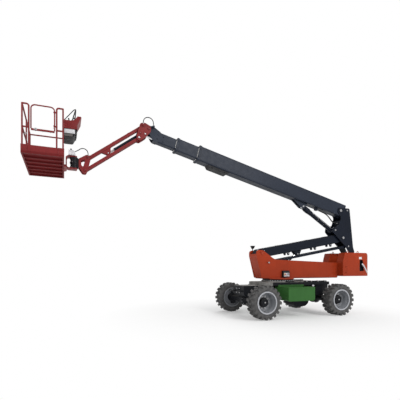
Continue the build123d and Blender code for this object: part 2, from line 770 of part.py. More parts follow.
def boom_base():
    base, mid = STAGES["base"], STAGES["mid"]
    half = base["width"] / 2
    low = boom_axis - base["height"] / 2
    whole = stage_tube(base) + collar(base, mid)
    whole += across((0, 0), boom_pin + 30, even(half))
    seat = low + base["wall"] / 2
    lug = [(lift_lug_along - 130, seat, 0), (lift_lug_along + 480, seat, 0),
           (lift_lug_along + 80, -lift_lug_drop - 65, 70), (lift_lug_along - 62, -lift_lug_drop - 65, 60)]
    eye = RAMS["lift"]["eye"] + side_gap
    for y in both(eye, eye + 25):
        whole += plate(lug, y)
    clip = (-tail_clip_drop - tail_hose, seat)
    whole += block((tail_clip_along, tail_clip_along + tail_clip_length), even(tail_hose), clip)
    whole -= across((0, 0), boom_pin + fit_gap, even(half + 1))
    return placed(boom_pivot, boom_tilt) * whole


def boom_guide():
    low = boom_axis - STAGES["base"]["height"] / 2
    start = STAGES["base"]["end"] - guide_back
    end = start + guide_length
    rows = [(start, low, 0), (end, low, 0), (end - 70, low - guide_depth, 30),
            (start + 70, low - guide_depth, 30)]
    return placed(boom_pivot, boom_tilt) * plate(rows, even(guide_width / 2))


def boom_mid():
    whole = stage_tube(STAGES["mid"]) + collar(STAGES["mid"], STAGES["fly"])
    return placed(boom_pivot, boom_tilt) * (whole + rear_pad(STAGES["mid"], STAGES["base"]))


def boom_fly():
    fly = STAGES["fly"]
    half_w, half_h = fly["width"] / 2, fly["height"] / 2
    end, top, low = fly["end"], boom_axis + half_h, boom_axis - half_h
    whole = stage_tube(fly) + rear_pad(fly, STAGES["mid"])
    clip, crest = head_along - root_clip_back, head_rise + root_clip_rise
    tip = head_along + 75
    nose = [(end - 170, low, 60), (end, low, 120), (end + 130, 20, 120), (tip, head_rise - 75, 70),
            (tip, head_rise + 75, 70), (clip + 40, crest, 30), (clip - 40, crest, 30), (end - 170, top, 0)]
    for y in both(half_w - 20, half_w):
        whole += plate(nose, y)
    whole += across((head_along, head_rise), head_pin, even(root_gap + jib_plate + 12))
    level_z = head_rise + turned(level_dx, level_dz, -boom_tilt)[1]
    barrel = bar((end - 750, 0, level_z), (end - 120, 0, level_z), 55)
    bulkhead = stage_box(fly, (end - 750, end - 710), -fly["wall"] / 2)
    bore = bar((end - 740, 0, level_z), (end - 100, 0, level_z), 30 + fit_gap)
    whole = placed(boom_pivot, boom_tilt) * (whole + barrel + bulkhead - bore)
    clip_x, clip_z = root_clip
    return whole + block((clip_x - 30, clip_x + 30), (half_w, root_hose_y + root_hose), (clip_z - 45, clip_z))


def level_rod():
    along, rise = turned(level_dx, level_dz, -boom_tilt)
    along, rise = head_along + along, head_rise + rise
    start = STAGES["fly"]["end"] - 450
    whole = bar((start, 0, rise), (along, 0, rise), 30) + across((along, rise), 36, even(30))
    return placed(boom_pivot, boom_tilt) * whole


# Jib


def jib_root():
    rows = [(-75, 0, 70), (-45, 85, 60), (105, 155, 90), (240, 130, 70), (275, 0, 200), (350, -250, 80),
            (325, -350, 60), (235, -360, 60), (65, -235, 120), (-60, -85, 60)]
    whole = across(jib_upper_root, jib_pin, even(root_gap))
    ram_pin = RAMS["jib"]["pin"]
    bosses = ((jib_upper_root, jib_pin), (jib_lower_root, jib_pin), (level_eye, 25.0),
              (jib_ram_base, ram_pin))
    for y in both(root_gap, root_gap + jib_plate):
        whole += plate(moved(rows, head_pivot), y) - across(head_pivot, head_pin + fit_gap, y)
    for y in both(root_gap + jib_plate, root_gap + jib_plate + 12):
        for point, radius in bosses:
            whole += across(point, radius + 8, y)
    for y in both(jib_lower_inner_y - 4, root_gap):
        whole += across(jib_lower_root, jib_pin, y)
    gland_x, gland_z = root_gland
    gland_y = (root_gap + jib_plate, root_hose_y + root_hose)
    whole += block((gland_x - 25, gland_x + 25), gland_y, (gland_z - 50, gland_z))
    return whole + across(jib_ram_base, ram_pin, even(root_gap))


def jib_upper():
    half, wall, corner = jib_height / 2, 6.0, 16.0
    whole = beam((0, jib_length), jib_width, even(half), corner)
    whole -= beam((60, jib_length - 60), jib_width - 2 * wall, even(half - wall), corner - wall)
    ends = ((0, root_gap - side_gap), (jib_length, head_gap - side_gap))
    for along, reach in ends:
        whole += across((along, 0), half + 10, even(reach))
    eye = RAMS["jib"]["eye"] + side_gap
    lug = [(jib_lug_along - 150, -half + 2, 0), (jib_lug_along + 150, -half + 2, 0),
           (jib_lug_along + 42, -jib_lug_drop - 42, 36), (jib_lug_along - 42, -jib_lug_drop - 42, 36)]
    for y in both(eye, eye + 14):
        whole += plate(lug, y)
    for along, reach in ends:
        whole -= across((along, 0), jib_pin + fit_gap, even(reach + 1))
    return placed(jib_upper_root, -jib_tilt) * whole


def jib_lower():
    half = jib_lower_height / 2
    whole = across((jib_length, 0), half + 10, even(head_gap - side_gap))
    for y in both(jib_lower_inner_y, jib_lower_outer_y):
        whole += block((0, jib_length), y, even(half))
    for y in both(jib_lower_inner_y, root_gap - side_gap):
        whole += across((0, 0), half + 10, y)
    for end in ((0, 0), (jib_length, 0)):
        whole -= across(end, jib_pin + fit_gap, even(root_gap))
    return placed(jib_lower_root, -jib_tilt) * whole


def jib_head():
    upper, lower = jib_upper_end, jib_lower_end
    back, low, top = rotator_x - rotator_seat, rotator_bottom + 30, rotator_top - 30
    rows = moved([(-70, 5, 60), (-25, 78, 45), (55, 75, 60)], upper) + [(back, top, 20), (back, low, 20)]
    rows += moved([(55, -65, 50), (-35, -68, 40), (-72, 0, 60)], lower)
    window = moved([(75, -35, 18)], upper) + [(back - 65, top - 40, 18), (back - 65, low + 60, 18)]
    window += moved([(45, 75, 18)], lower)
    whole = across(upper, jib_pin, even(head_gap)) + across(lower, jib_pin, even(head_gap))
    for y in both(head_gap, head_gap + jib_plate):
        whole += plate(rows, y) - plate(window, y)
    for y in both(head_gap + jib_plate, head_gap + jib_plate + 10):
        for pivot in (upper, lower):
            whole += across(pivot, jib_pin + 8, y)
    gland_x, gland_z = head_gland
    whole += block((gland_x - 25, gland_x + 25), (head_gap, head_hose_y + head_hose), (gland_z - 45, gland_z))
    return whole + block((back - 20, back), even(head_gap), (low, top))


def rotator():
    middle, height = (rotator_bottom + rotator_top) / 2, rotator_top - rotator_bottom
    whole = Pos(rotator_x, 0, middle) * Cylinder(rotator_radius - 12, height)
    for z in (rotator_bottom + 20, middle, rotator_top - 20):
        whole += Pos(rotator_x, 0, z) * Cylinder(rotator_radius, 40)
    whole += Pos(rotator_x, 0, middle) * Cylinder(40, height + 2 * bracket_plate)
    seat = (rotator_bottom + 30, rotator_top - 30)
    return whole + block((rotator_x - rotator_seat, rotator_x), even(85), seat)


# Platform


def platform_bracket():
    low, top, thick = rotator_bottom - fit_gap, rotator_top + fit_gap, bracket_plate
    tip, inner, outer = rotator_x - 75, rotator_x + 180, rotator_x + 210
    cheek = [(tip, top + thick, 12), (outer, top + thick, 80), (outer, low - thick, 80),
             (tip, low - thick, 12), (tip, low, 0), (inner, low, 45), (inner, top, 45), (tip, top, 0)]
    whole = plate(cheek, even(95))
    whole -= Pos(rotator_x, 0, (low + top) / 2) * Cylinder(40 + fit_gap, 2 * (top - low))
    whole += block((inner, outer), even(200), (floor_bottom, top - 40))
    return whole + block((outer, platform_rear_x), even(250), (floor_bottom, floor_edge))


def platform_floor():
    x, y = (platform_rear_x, platform_front_x), even(platform_width / 2)
    frame, sheet, rib = 40.0, 8.0, 30.0
    whole = block(x, y, (floor_bottom, floor_edge))
    whole += block((x[0] + tread_margin, x[1] - tread_margin), (y[0] + tread_margin, y[1] - tread_margin),
                   (floor_edge, floor_top))
    inner_x = (x[0] + frame, x[1] - frame)
    pitch = (platform_width - 2 * frame) / floor_bay_count
    for bay in range(floor_bay_count):
        start = y[0] + frame + bay * pitch
        bay_y = (start + rib / 2, start + pitch - rib / 2)
        whole -= block(inner_x, bay_y, (floor_bottom - 1, floor_edge - sheet))
    return whole


def toe_boards():
    half, low, top = platform_width / 2, floor_edge, floor_edge + toe_height
    x = (platform_rear_x, platform_front_x)
    whole = block(x, even(half - toe_inset), (low, top))
    inside = (x[0] + toe_plate, x[1] - toe_plate)
    whole -= block(inside, even(half - toe_inset - toe_plate), (low - 1, top + 1))
    foot_y = rail_y - rail_radius
    for y in both(foot_y, half):
        for foot in ((x[0], x[0] + foot_length), (x[1] - foot_length, x[1])):
            whole += block(foot, y, (low, top))
    return whole


def platform_rails():
    corners = [(x, y) for x in (rail_rear_x, rail_front_x) for y in (rail_y, -rail_y)]
    whole = joined(*[bar((x, y, floor_edge + toe_height), (x, y, rail_top), rail_radius) for x, y in corners])
    for x, y in corners:
        whole += Pos(x, y, rail_top) * Sphere(rail_radius)
    for x in (rail_rear_x, rail_front_x):
        whole += bar((x, 0, floor_edge), (x, 0, rail_top), rail_radius)
        for z in (rail_mid, rail_top):
            whole += bar((x, -rail_y, z), (x, rail_y, z), rail_radius)
    for z in (rail_mid, rail_top):
        whole += bar((rail_rear_x, -rail_y, z), (rail_front_x, -rail_y, z), rail_radius)
    for x, post_x in ((rail_rear_x, rail_rear_x + gate_stub), (rail_front_x, rail_front_x - gate_stub)):
        whole += bent([(x, rail_y, rail_top), (post_x, rail_y, rail_top), (post_x, rail_y, floor_edge)],
                      rail_radius, 50)
        whole += bar((x, rail_y, rail_mid), (post_x, rail_y, rail_mid), rail_radius)
    for z in (floor_top + gate_bottom_height + 110, rail_top - 110):
        arm = gate_radius + gate_gap + rail_radius
        ring = Cylinder(gate_radius + 10, 30) + Pos(-arm / 2, 0, 0) * Box(arm, 20, 30)
        whole += Pos(gate_hinge_x, rail_y, z) * ring
        whole -= Pos(gate_hinge_x, rail_y, z) * Cylinder(gate_radius + fit_gap, 32)
    return whole


def gate():
    low, top, end = floor_top + gate_bottom_height, rail_top, gate_latch_x
    hinge = gate_hinge_x
    points = [(hinge, rail_y, low), (hinge, rail_y, top), (end, rail_y, top), (end, rail_y, low)]
    loop = bent(points, gate_radius, 90)
    bottom = block((gate_hinge_x, end), (rail_y - gate_radius, rail_y + gate_radius),
                   (low - 40, low))
    return loop + bottom


def control_box():
    rear, top = rail_rear_x - rail_radius, rail_top - 60
    rows = [(rear, top, 0), (rear - 310, top, 0), (rear - 330, top - 130, 30), (rear - 230, top - 320, 60),
            (rear, top - 320, 20)]
    return plate(rows, even(280))


def control_guard():
    rear, low = rail_rear_x - rail_radius, rail_top - 60
    scoop = [(rear, low, 0), (rear - 310, low, 120), (rear - 430, low + 215, 0), (rear - 415, low + 222, 0),
             (rear - 300, low + 12, 108), (rear, low + 12, 0)]
    whole = plate(scoop, even(290))
    hoop = [(rear - 170, -260, low + 5), (rear - 290, -260, low + 420), (rear - 290, 260, low + 420),
            (rear - 170, 260, low + 5)]
    return whole + bent(hoop, 14, 60)


def platform_valve():
    """Valve block on the bracket, its rear face square to the hose."""
    base, front = rotator_top + fit_gap + bracket_plate, rotator_x + 140
    heel = shifted(valve_port, *turned(0, -60, -valve_slope))
    crown = shifted(valve_port, *turned(0, 45, -valve_slope))
    rows = [(heel[0], base), heel, crown, (front, crown[1]), (front, base)]
    whole = slab(rows, (-60, head_hose_y + head_hose))
    for y in (-20, 40, 100):
        whole += Pos((crown[0] + front) / 2, y, crown[1] + 20) * Cylinder(20, 40)
    return whole


# Hoses


def hose_tail():
    return hose("hose_tail", tail_hose_route, tail_hose)


def hose_root():
    return hose("hose_root", root_hose_route, root_hose)


def hose_head():
    return hose("hose_head", head_hose_route, head_hose)


# Cylinders


def ram_axis(base, eye):
    return hypot(eye[0] - base[0], eye[1] - base[1]), degrees(atan2(eye[1] - base[1], eye[0] - base[0]))


def ram_barrel(name, base, eye):
    """Barrel of a cylinder, from its base pin to its reach along the line to the rod's eye."""
    ram = RAMS[name]
    _, tilt = ram_axis(base, eye)
    radius, gland, reach = ram["barrel"], ram["gland"], ram["reach"]
    whole = bar((0, 0, 0), (reach, 0, 0), radius)
    for start in (radius, reach - gland):
        whole += bar((start, 0, 0), (start + gland, 0, 0), 1.1 * radius)
    whole += across((0, 0), radius - 2, even(ram["base_half"]))
    whole -= bar((radius + 30, 0, 0), (reach + 1, 0, 0), ram["rod"] + fit_gap)
    whole -= across((0, 0), ram["pin"] + fit_gap, even(ram["base_half"] + 1))
    return placed(base, tilt) * whole


def ram_rod(name, base, eye):
    """Rod of a cylinder, from inside its barrel out to its eye."""
    ram = RAMS[name]
    length, tilt = ram_axis(base, eye)
    whole = bar((ram["inside"], 0, 0), (length, 0, 0), ram["rod"])
    whole += across((length, 0), ram["eye_radius"], even(ram["eye"]))
    return placed(base, tilt) * whole


NODES = {
    "chassis_frame": chassis_frame,
    "tie_down_lugs": tie_down_lugs,
    "front_axle": front_axle,
    "rear_axle": rear_axle,
    "battery_trays": battery_trays,
    "battery_packs": battery_packs,
    "drive_unit": drive_unit,
    "drive_shafts": drive_shafts,
    "slew_ring": slew_ring,
    "knuckle_left": lambda: knuckle(1),
    "knuckle_right": lambda: knuckle(-1),
    "turntable_frame": turntable_frame,
    "counterweight": counterweight,
    "ground_controls": ground_controls,
    "beacon": beacon,
    "riser_arm": riser_arm,
    "riser_tie": riser_tie,
    "riser_barrel": lambda: ram_barrel("riser", riser_ram_base, riser_ram_eye),
    "riser_rod": lambda: ram_rod("riser", riser_ram_base, riser_ram_eye),
    "upright": upright,
    "boom_base": boom_base,
    "boom_guide": boom_guide,
    "boom_mid": boom_mid,
    "boom_fly": boom_fly,
    "lift_barrel": lambda: ram_barrel("lift", lift_base, lift_eye),
    "lift_rod": lambda: ram_rod("lift", lift_base, lift_eye),
    "level_rod": level_rod,
    "jib_root": jib_root,
    "jib_upper": jib_upper,
    "jib_lower": jib_lower,
    "jib_head": jib_head,
    "jib_barrel": lambda: ram_barrel("jib", jib_ram_base, jib_ram_eye),
    "jib_rod": lambda: ram_rod("jib", jib_ram_base, jib_ram_eye),
    "rotator": rotator,
    "platform_bracket": platform_bracket,
    "platform_floor": platform_floor,
    "toe_boards": toe_boards,
    "platform_rails": platform_rails,
    "gate": gate,
    "control_box": control_box,
    "control_guard": control_guard,
    "platform_valve": platform_valve,
    "hose_tail": hose_tail,
    "hose_root": hose_root,
    "hose_head": hose_head,
}
for end, axle_x in (("front", wheelbase / 2), ("rear", -wheelbase / 2)):
    for hand, side in (("left", 1), ("right", -1)):
        NODES[f"tyre_{end}_{hand}"] = lambda x=axle_x, s=side: tyre(x, s)
        NODES[f"rim_{end}_{hand}"] = lambda x=axle_x, s=side: rim(x, s)


if __name__ == "__main__":
    for name, make in NODES.items():
        export_step(make(), f"parts/{name}.step")
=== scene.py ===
import json
import math

import bmesh
import bpy
from bpy.props import FloatProperty, FloatVectorProperty, IntProperty, PointerProperty
from mathutils import Matrix, Vector


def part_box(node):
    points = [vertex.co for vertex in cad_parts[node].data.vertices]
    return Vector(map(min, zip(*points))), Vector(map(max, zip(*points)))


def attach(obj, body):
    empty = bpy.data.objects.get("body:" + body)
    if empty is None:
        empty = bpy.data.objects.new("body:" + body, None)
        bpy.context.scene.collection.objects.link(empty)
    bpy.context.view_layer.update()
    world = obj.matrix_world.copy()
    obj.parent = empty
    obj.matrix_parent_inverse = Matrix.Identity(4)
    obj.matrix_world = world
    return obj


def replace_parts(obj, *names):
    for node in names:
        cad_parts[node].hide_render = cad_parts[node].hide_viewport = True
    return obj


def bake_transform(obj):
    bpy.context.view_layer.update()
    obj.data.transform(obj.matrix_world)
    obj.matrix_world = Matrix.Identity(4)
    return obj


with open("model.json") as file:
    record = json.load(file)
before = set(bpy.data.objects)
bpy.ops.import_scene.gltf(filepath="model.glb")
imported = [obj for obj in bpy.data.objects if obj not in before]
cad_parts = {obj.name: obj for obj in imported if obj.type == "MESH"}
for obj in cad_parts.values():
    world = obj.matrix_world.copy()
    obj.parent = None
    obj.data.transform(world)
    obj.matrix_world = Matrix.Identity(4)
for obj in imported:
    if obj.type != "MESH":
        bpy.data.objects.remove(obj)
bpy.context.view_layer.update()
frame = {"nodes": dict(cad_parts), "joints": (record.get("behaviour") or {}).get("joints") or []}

bl_info = {
    "name": "Boom Lift Dresser",
    "version": (1, 0, 0),
    "blender": (4, 5, 0),
    "location": "View3D > Sidebar > Boom Lift",
    "description": "Dresses the boom lift's solids with paint, tyres, hoses, fasteners and fittings",
    "category": "Object",
}


def colour_prop(name, description, default):
    return FloatVectorProperty(name=name, description=description, subtype="COLOR", size=3,
                               min=0.0, max=1.0, default=default)


def length_prop(name, description, default):
    return FloatProperty(name=name, description=description, unit="LENGTH", subtype="DISTANCE",
                         min=0.0, default=default)


class LiftColours(bpy.types.PropertyGroup):
    """Paint and material colours of the boom lift"""
    turntable: colour_prop("Turntable", "Orange paint of the turntable and counterweight",
                           (0.330, 0.036, 0.009))
    jib: colour_prop("Jib", "Red paint of the jib and platform", (0.195, 0.021, 0.022))
    boom: colour_prop("Boom", "Slate paint of the telescopic boom", (0.021, 0.027, 0.042))
    riser: colour_prop("Riser", "Dark paint of the riser and upright", (0.005, 0.008, 0.017))
    chassis: colour_prop("Chassis", "Black paint of the frame and axles", (0.008, 0.009, 0.012))
    deck: colour_prop("Deck", "Grey grip coat on the deck", (0.22, 0.215, 0.205))
    tray: colour_prop("Trays", "Green paint of the battery trays", (0.032, 0.115, 0.026))
    rubber: colour_prop("Tyres", "Rubber of the tyres", (0.048, 0.048, 0.050))
    rim: colour_prop("Rims", "Silver paint of the rims", (0.20, 0.21, 0.23))
    plastic: colour_prop("Black plastic", "Moulded boxes and covers", (0.009, 0.009, 0.011))
    # A brighter grey for a thin ring on the rims' outer lip: painted highlight, not a paint of its own.
    lip: colour_prop("Rim lips", "Bright outer lip of the rims", (0.40, 0.41, 0.44))
    case: colour_prop("Control case", "Grey-brown lower case of the controls", (0.11, 0.10, 0.095))
    hose: colour_prop("Hoses", "Rubber of the hydraulic hoses", (0.010, 0.010, 0.011))
    panel: colour_prop("Panels", "Pale grey control panels", (0.62, 0.62, 0.64))
    pad: colour_prop("Wear pads", "Nylon pads between the boom's sections", (0.52, 0.52, 0.50))
    stop: colour_prop("Stop button", "Red mushroom of the stop buttons", (0.60, 0.02, 0.02))
    bezel: colour_prop("Stop ring", "Yellow ring round the stop buttons", (0.80, 0.55, 0.03))


class LiftSizes(bpy.types.PropertyGroup):
    """Sizes of the fittings"""
    lugs: IntProperty(name="Tyre lugs", description="Lugs on each side of a tyre", min=8, max=40, default=20)
    wheel_nuts: IntProperty(name="Wheel nuts", description="Nuts on each wheel", min=4, max=16, default=10)
    ring_bolts: IntProperty(name="Slew bolts", description="Bolts round the slew ring", min=8, max=72,
                            default=40)
    bolt: length_prop("Bolt", "Width across a structural bolt's head", 0.030)
    screw: length_prop("Screw", "Width across a cover screw's head", 0.013)
    edge: length_prop("Edge", "Radius that softens the painted edges", 0.005)


class LiftStage(bpy.types.PropertyGroup):
    """Floor, light and camera"""
    floor: colour_prop("Floor", "Colour of the pale floor", (0.90, 0.90, 0.90))
    key: FloatProperty(name="Key light", description="Strength of the large high lamp", min=0.0,
                       default=1500.0)
    sky: FloatProperty(name="Sky", description="Strength of the soft surrounding light", min=0.0,
                       default=0.55)
    lens: FloatProperty(name="Lens", description="Focal length on a 36 mm frame", subtype="DISTANCE_CAMERA",
                        min=1.0, default=29.7)
    eye: FloatVectorProperty(name="Camera", description="Place of the camera", subtype="TRANSLATION", size=3,
                             default=(6.874, 9.31, 1.527))
    heading: FloatProperty(name="Heading", description="Direction of view about the vertical",
                           subtype="ANGLE",
                           default=-1.929)
    shift_x: FloatProperty(name="Shift X", description="Sideways shift of the frame", default=0.0315)
    shift_y: FloatProperty(name="Shift Y", description="Upward shift of the frame", default=0.169)


# Materials


def set_sockets(tree, node, sockets):
    """Link a source to each named socket of a node, or set the socket's value."""
    for name, value in sockets.items():
        if isinstance(value, bpy.types.NodeSocket):
            tree.links.new(value, node.inputs[name])
        else:
            node.inputs[name].default_value = value


def new_node(tree, kind, sockets, settings):
    node = tree.nodes.new("ShaderNode" + kind)
    for name, value in settings.items():
        setattr(node, name, value)
    set_sockets(tree, node, sockets)
    return node


class Finish:
    """A material under construction: its node tree and surface shader."""

    def __init__(self, name):
        self.material = bpy.data.materials.new(name)
        self.material.use_nodes = True
        self.tree = self.material.node_tree
        self.shader = self.tree.nodes["Principled BSDF"]
        self.place = self.node("TexCoord").outputs["Object"]
        self.form = self.node("NewGeometry").outputs["Normal"]
        self.soft = None

    def node(self, kind, sockets=None, **settings):
        return new_node(self.tree, kind, sockets or {}, settings)

    def surface(self, sockets):
        """Link or set sockets of the surface shader."""
        set_sockets(self.tree, self.shader, sockets)

    def soften(self, radius):
        """Edges that catch the light as if rounded to the radius."""
        self.soft = self.node("Bevel", {"Radius": radius}, samples=6).outputs["Normal"]
        self.surface({"Normal": self.soft})

    def noise(self, scale, detail, stretch=None):
        source = self.place
        if stretch:
            source = self.node("Mapping", {"Vector": source, "Scale": stretch}).outputs["Vector"]
        return self.node("TexNoise", {"Vector": source, "Scale": scale, "Detail": detail}).outputs["Fac"]

    def spread(self, source, low, high, start=0.3, end=0.7):
        """A source's values between start and end, spread from low to high."""
        sockets = {"Value": source, "From Min": start, "From Max": end, "To Min": low, "To Max": high}
        return self.node("MapRange", sockets).outputs["Result"]

    def mix(self, factor, *ends):
        """Two colours, or sources of colour, mixed by a factor."""
        first, second = (end if isinstance(end, bpy.types.NodeSocket) else (*end, 1.0) for end in ends)
        sockets = {"Factor": factor, "A": first, "B": second}
        return self.node("Mix", sockets, data_type="RGBA").outputs["Result"]

    def math(self, operation, first, second):
        return self.node("Math", {0: first, 1: second}, operation=operation).outputs["Value"]

    def upward(self):
        """1 on faces that look up, 0 on upright and downward faces."""
        rise = self.node("SeparateXYZ", {"Vector": self.form}).outputs["Z"]
        return self.spread(rise, 0.0, 1.0, 0.35, 0.95)

    def edges(self):
        """1 along edges, 0 on open faces."""
        likeness = self.node("VectorMath", {0: self.form, 1: self.soft}, operation="DOT_PRODUCT")
        return self.spread(likeness.outputs["Value"], 1.0, 0.0, 0.80, 0.985)

    def bump(self, height, strength, distance):
        sockets = {"Height": height, "Strength": strength, "Distance": distance}
        if self.soft:
            sockets["Normal"] = self.soft
        self.surface({"Normal": self.node("Bump", sockets).outputs["Normal"]})


def shade(colour, factor):
    return tuple(min(1.0, channel * factor) for channel in colour)


def toward(colour, other, share):
    return tuple(a + (b - a) * share for a, b in zip(colour, other))


DUST = (0.33, 0.29, 0.24)
BARE = (0.42, 0.41, 0.40)
CHALK = (0.36, 0.34, 0.31)


def paint(name, colour, edge, rough, dust=0.16, coat=0.03, wear=0.30, gloss=0.16):
    """Sprayed paint: soft tone changes, rain streaks, rubbed edges, dust on what faces up."""
    finish = Finish(name)
    finish.soften(edge)
    clouds = finish.spread(finish.noise(1.3, 4.0), 0.0, 1.0)
    tone = finish.mix(clouds, shade(colour, 0.88), shade(colour, 1.10))
    streaks = finish.spread(finish.noise(9.0, 4.0, (1.0, 1.0, 0.07)), 0.0, 0.22, 0.52, 0.75)
    tone = finish.mix(streaks, tone, shade(colour, 0.55))
    chips = finish.spread(finish.noise(22.0, 6.0), 0.15 * wear, wear, 0.40, 0.62)
    rubbed = finish.math("MULTIPLY", finish.edges(), chips)
    tone = finish.mix(rubbed, tone, toward(colour, BARE, 0.55))
    specks = finish.spread(finish.noise(46.0, 6.0), 0.35 * dust, dust, 0.45, 0.8)
    tone = finish.mix(finish.math("MULTIPLY", finish.upward(), specks), tone, DUST)
    sheen = finish.spread(finish.noise(7.0, 5.0), rough - 0.06, rough + 0.08)
    finish.surface({"Base Color": tone, "Roughness": sheen, "Specular IOR Level": gloss,
                    "Coat Weight": coat, "Coat Roughness": 0.22})
    finish.bump(finish.noise(320.0, 2.0), 0.06, 0.0006)
    return finish.material


def grip_coat(name, colour):
    """Sanded non-slip paint, scuffed."""
    finish = Finish(name)
    scuff = finish.spread(finish.noise(5.0, 7.0), 0.0, 1.0, 0.35, 0.65)
    finish.surface({"Base Color": finish.mix(scuff, shade(colour, 0.62), shade(colour, 1.15)),
                    "Roughness": finish.spread(finish.noise(30.0, 4.0), 0.75, 0.95)})
    finish.bump(finish.noise(210.0, 4.0), 0.5, 0.002)
    return finish.material


def rubber(name, colour, dust=0.30, grain=90.0):
    """Moulded rubber, greyed with dust."""
    finish = Finish(name)
    worn = finish.spread(finish.noise(9.0, 6.0), 0.0, dust, 0.35, 0.75)
    finish.surface({"Base Color": finish.mix(worn, colour, toward(colour, CHALK, 0.55)),
                    "Roughness": finish.spread(finish.noise(24.0, 4.0), 0.62, 0.86)})
    finish.bump(finish.noise(grain, 5.0), 0.25, 0.0015)
    return finish.material


def moulded(name, colour, edge, rough):
    """Grained plastic, dusty on top."""
    finish = Finish(name)
    finish.soften(edge)
    clouds = finish.spread(finish.noise(3.0, 3.0), 0.0, 1.0)
    tone = finish.mix(clouds, shade(colour, 0.85), shade(colour, 1.2))
    specks = finish.spread(finish.noise(38.0, 6.0), 0.02, 0.12, 0.45, 0.8)
    tone = finish.mix(finish.math("MULTIPLY", finish.upward(), specks), tone, DUST)
    sheen = finish.spread(finish.noise(14.0, 4.0), rough - 0.07, rough + 0.1)
    finish.surface({"Base Color": tone, "Roughness": sheen, "Specular IOR Level": 0.22})
    finish.bump(finish.noise(650.0, 2.0), 0.16, 0.0006)
    return finish.material


def metal(name, colour, rough, stretch=(6.0, 6.0, 60.0)):
    """Bare or plated metal with fine directional marks."""
    finish = Finish(name)
    marks = finish.noise(40.0, 4.0, stretch)
    tone = finish.mix(finish.spread(marks, 0.0, 1.0), shade(colour, 0.82), colour)
    sheen = finish.spread(marks, rough - 0.04, rough + 0.08)
    finish.surface({"Base Color": tone, "Roughness": sheen, "Metallic": 1.0})
    finish.bump(marks, 0.05, 0.0005)
    return finish.material


def clear_lens(name, colour):
    """Tinted clear plastic."""
    finish = Finish(name)
    tone = finish.mix(finish.spread(finish.noise(25.0, 2.0), 0.0, 1.0), shade(colour, 0.8), colour)
    sheen = finish.spread(finish.noise(60.0, 2.0), 0.08, 0.16)
    finish.surface({"Base Color": tone, "Roughness": sheen, "Transmission Weight": 0.35, "Coat Weight": 0.6})
    return finish.material


FINISHES = {}


def make_finishes(colours, edge):
    FINISHES.update(
        turntable=paint("orange_paint", colours.turntable, edge, 0.40),
        jib=paint("brick_red_paint", colours.jib, edge, 0.46),
        # The platform floor in the jib's red darkened to 0.72: painted shade of the floor's underside.
        floor=paint("platform_floor_shaded_paint", shade(colours.jib, 0.72), edge, 0.55, dust=0.05, wear=0.10,
                    gloss=0.06),
        boom=paint("slate_paint", colours.boom, edge, 0.44, dust=0.10),
        riser=paint("ink_paint", colours.riser, edge, 0.40, dust=0.10),
        chassis=paint("frame_black_paint", colours.chassis, edge, 0.48, dust=0.22),
        deck=grip_coat("deck_grip_coat", colours.deck),
        tray=paint("tray_green_paint", colours.tray, edge, 0.40),
        rubber=rubber("tyre_rubber", colours.rubber),
        hose=rubber("hose_rubber", colours.hose, dust=0.10, grain=240.0),
        rim=paint("rim_silver_paint", colours.rim, edge, 0.34, dust=0.10, coat=0.3, gloss=0.4),
        # The rims' lip ring in a brighter grey: painted highlight.
        lip=paint("rim_lip_paint", colours.lip, edge, 0.30, dust=0.06, coat=0.3, gloss=0.4),
        case=moulded("control_case_plastic", colours.case, edge, 0.5),
        plastic=moulded("black_plastic", colours.plastic, edge, 0.5),
        panel=moulded("panel_grey_plastic", colours.panel, edge, 0.4),
        pad=moulded("wear_pad_nylon", colours.pad, edge, 0.45),
        stop=moulded("stop_button_red", colours.stop, edge, 0.32),
        bezel=moulded("stop_ring_yellow", colours.bezel, edge, 0.38),
        chrome=metal("rod_chrome", (0.78, 0.79, 0.81), 0.12),
        steel=metal("zinc_steel", (0.56, 0.56, 0.57), 0.34),
        tread=metal("tread_aluminium", (0.50, 0.50, 0.51), 0.42, (8.0, 8.0, 8.0)),
        lens=clear_lens("clear_lens", (0.85, 0.86, 0.88)),
    )


# Forms


SIDES = {"left": 1, "right": -1}
BOTH = tuple(SIDES.values())
AXLE_X, AXLE_Z, WHEEL_Y = 1.385, 0.505, 1.05
WHEELS = [(f"{end}_{hand}", x, side) for end, x in (("front", AXLE_X), ("rear", -AXLE_X))
          for hand, side in SIDES.items()]
PIVOTS = {joint["name"]: Vector(joint["pos_m"]) for joint in frame["joints"] if joint["type"] == "hinge"}
BOOM_TILT, RISER_TILT, JIB_TILT = (math.radians(angle) for angle in (14.0, -10.1, -36.2))
AHEAD, ACROSS, UP, DOWN = (Vector(axis) for axis in ((1, 0, 0), (0, 1, 0), (0, 0, 1), (0, 0, -1)))
QUARTER = math.pi / 2


def at(x, y, z):
    """A place at a point, not turned."""
    return Matrix.Translation((x, y, z))


def spin(angle, axis):
    """A place turned about an axis through the origin."""
    return Matrix.Rotation(angle, 4, axis)


def leaning(pivot, tilt):
    """The frame of an arm at its pivot, its +X rising by tilt."""
    return Matrix.Translation(PIVOTS[pivot]) @ spin(-tilt, "Y")


def aimed(point, axis):
    """A place at a point, its +Z along axis."""
    return Matrix.Translation(point) @ Vector(axis).to_track_quat("Z", "Y").to_matrix().to_4x4()


def outward(side, x, y, z):
    """A place on a side face, its +Z away from the middle plane."""
    return aimed((x, side * y, z), ACROSS * side)


def span(side, low, high):
    """A range on one side of the middle plane, lower end first."""
    return sorted((side * low, side * high))


def about(middle, half):
    """The range that reaches half to either side of a middle."""
    return (middle - half, middle + half)


def smooth_line(route):
    """Points along the smooth spline that a route's points steer."""
    curve = bpy.data.curves.new("route", "CURVE")
    curve.dimensions = "3D"
    spline = curve.splines.new("NURBS")
    spline.points.add(len(route) - 1)
    for point, place in zip(spline.points, route):
        point.co = (*place, 1.0)
    spline.order_u, spline.use_endpoint_u, spline.resolution_u = 3, True, 12
    holder = bpy.data.objects.new("route", curve)
    mesh = bpy.data.meshes.new_from_object(holder)
    line = [vert.co.copy() for vert in mesh.vertices]
    bpy.data.meshes.remove(mesh)
    bpy.data.objects.remove(holder)
    bpy.data.curves.remove(curve)
    return line


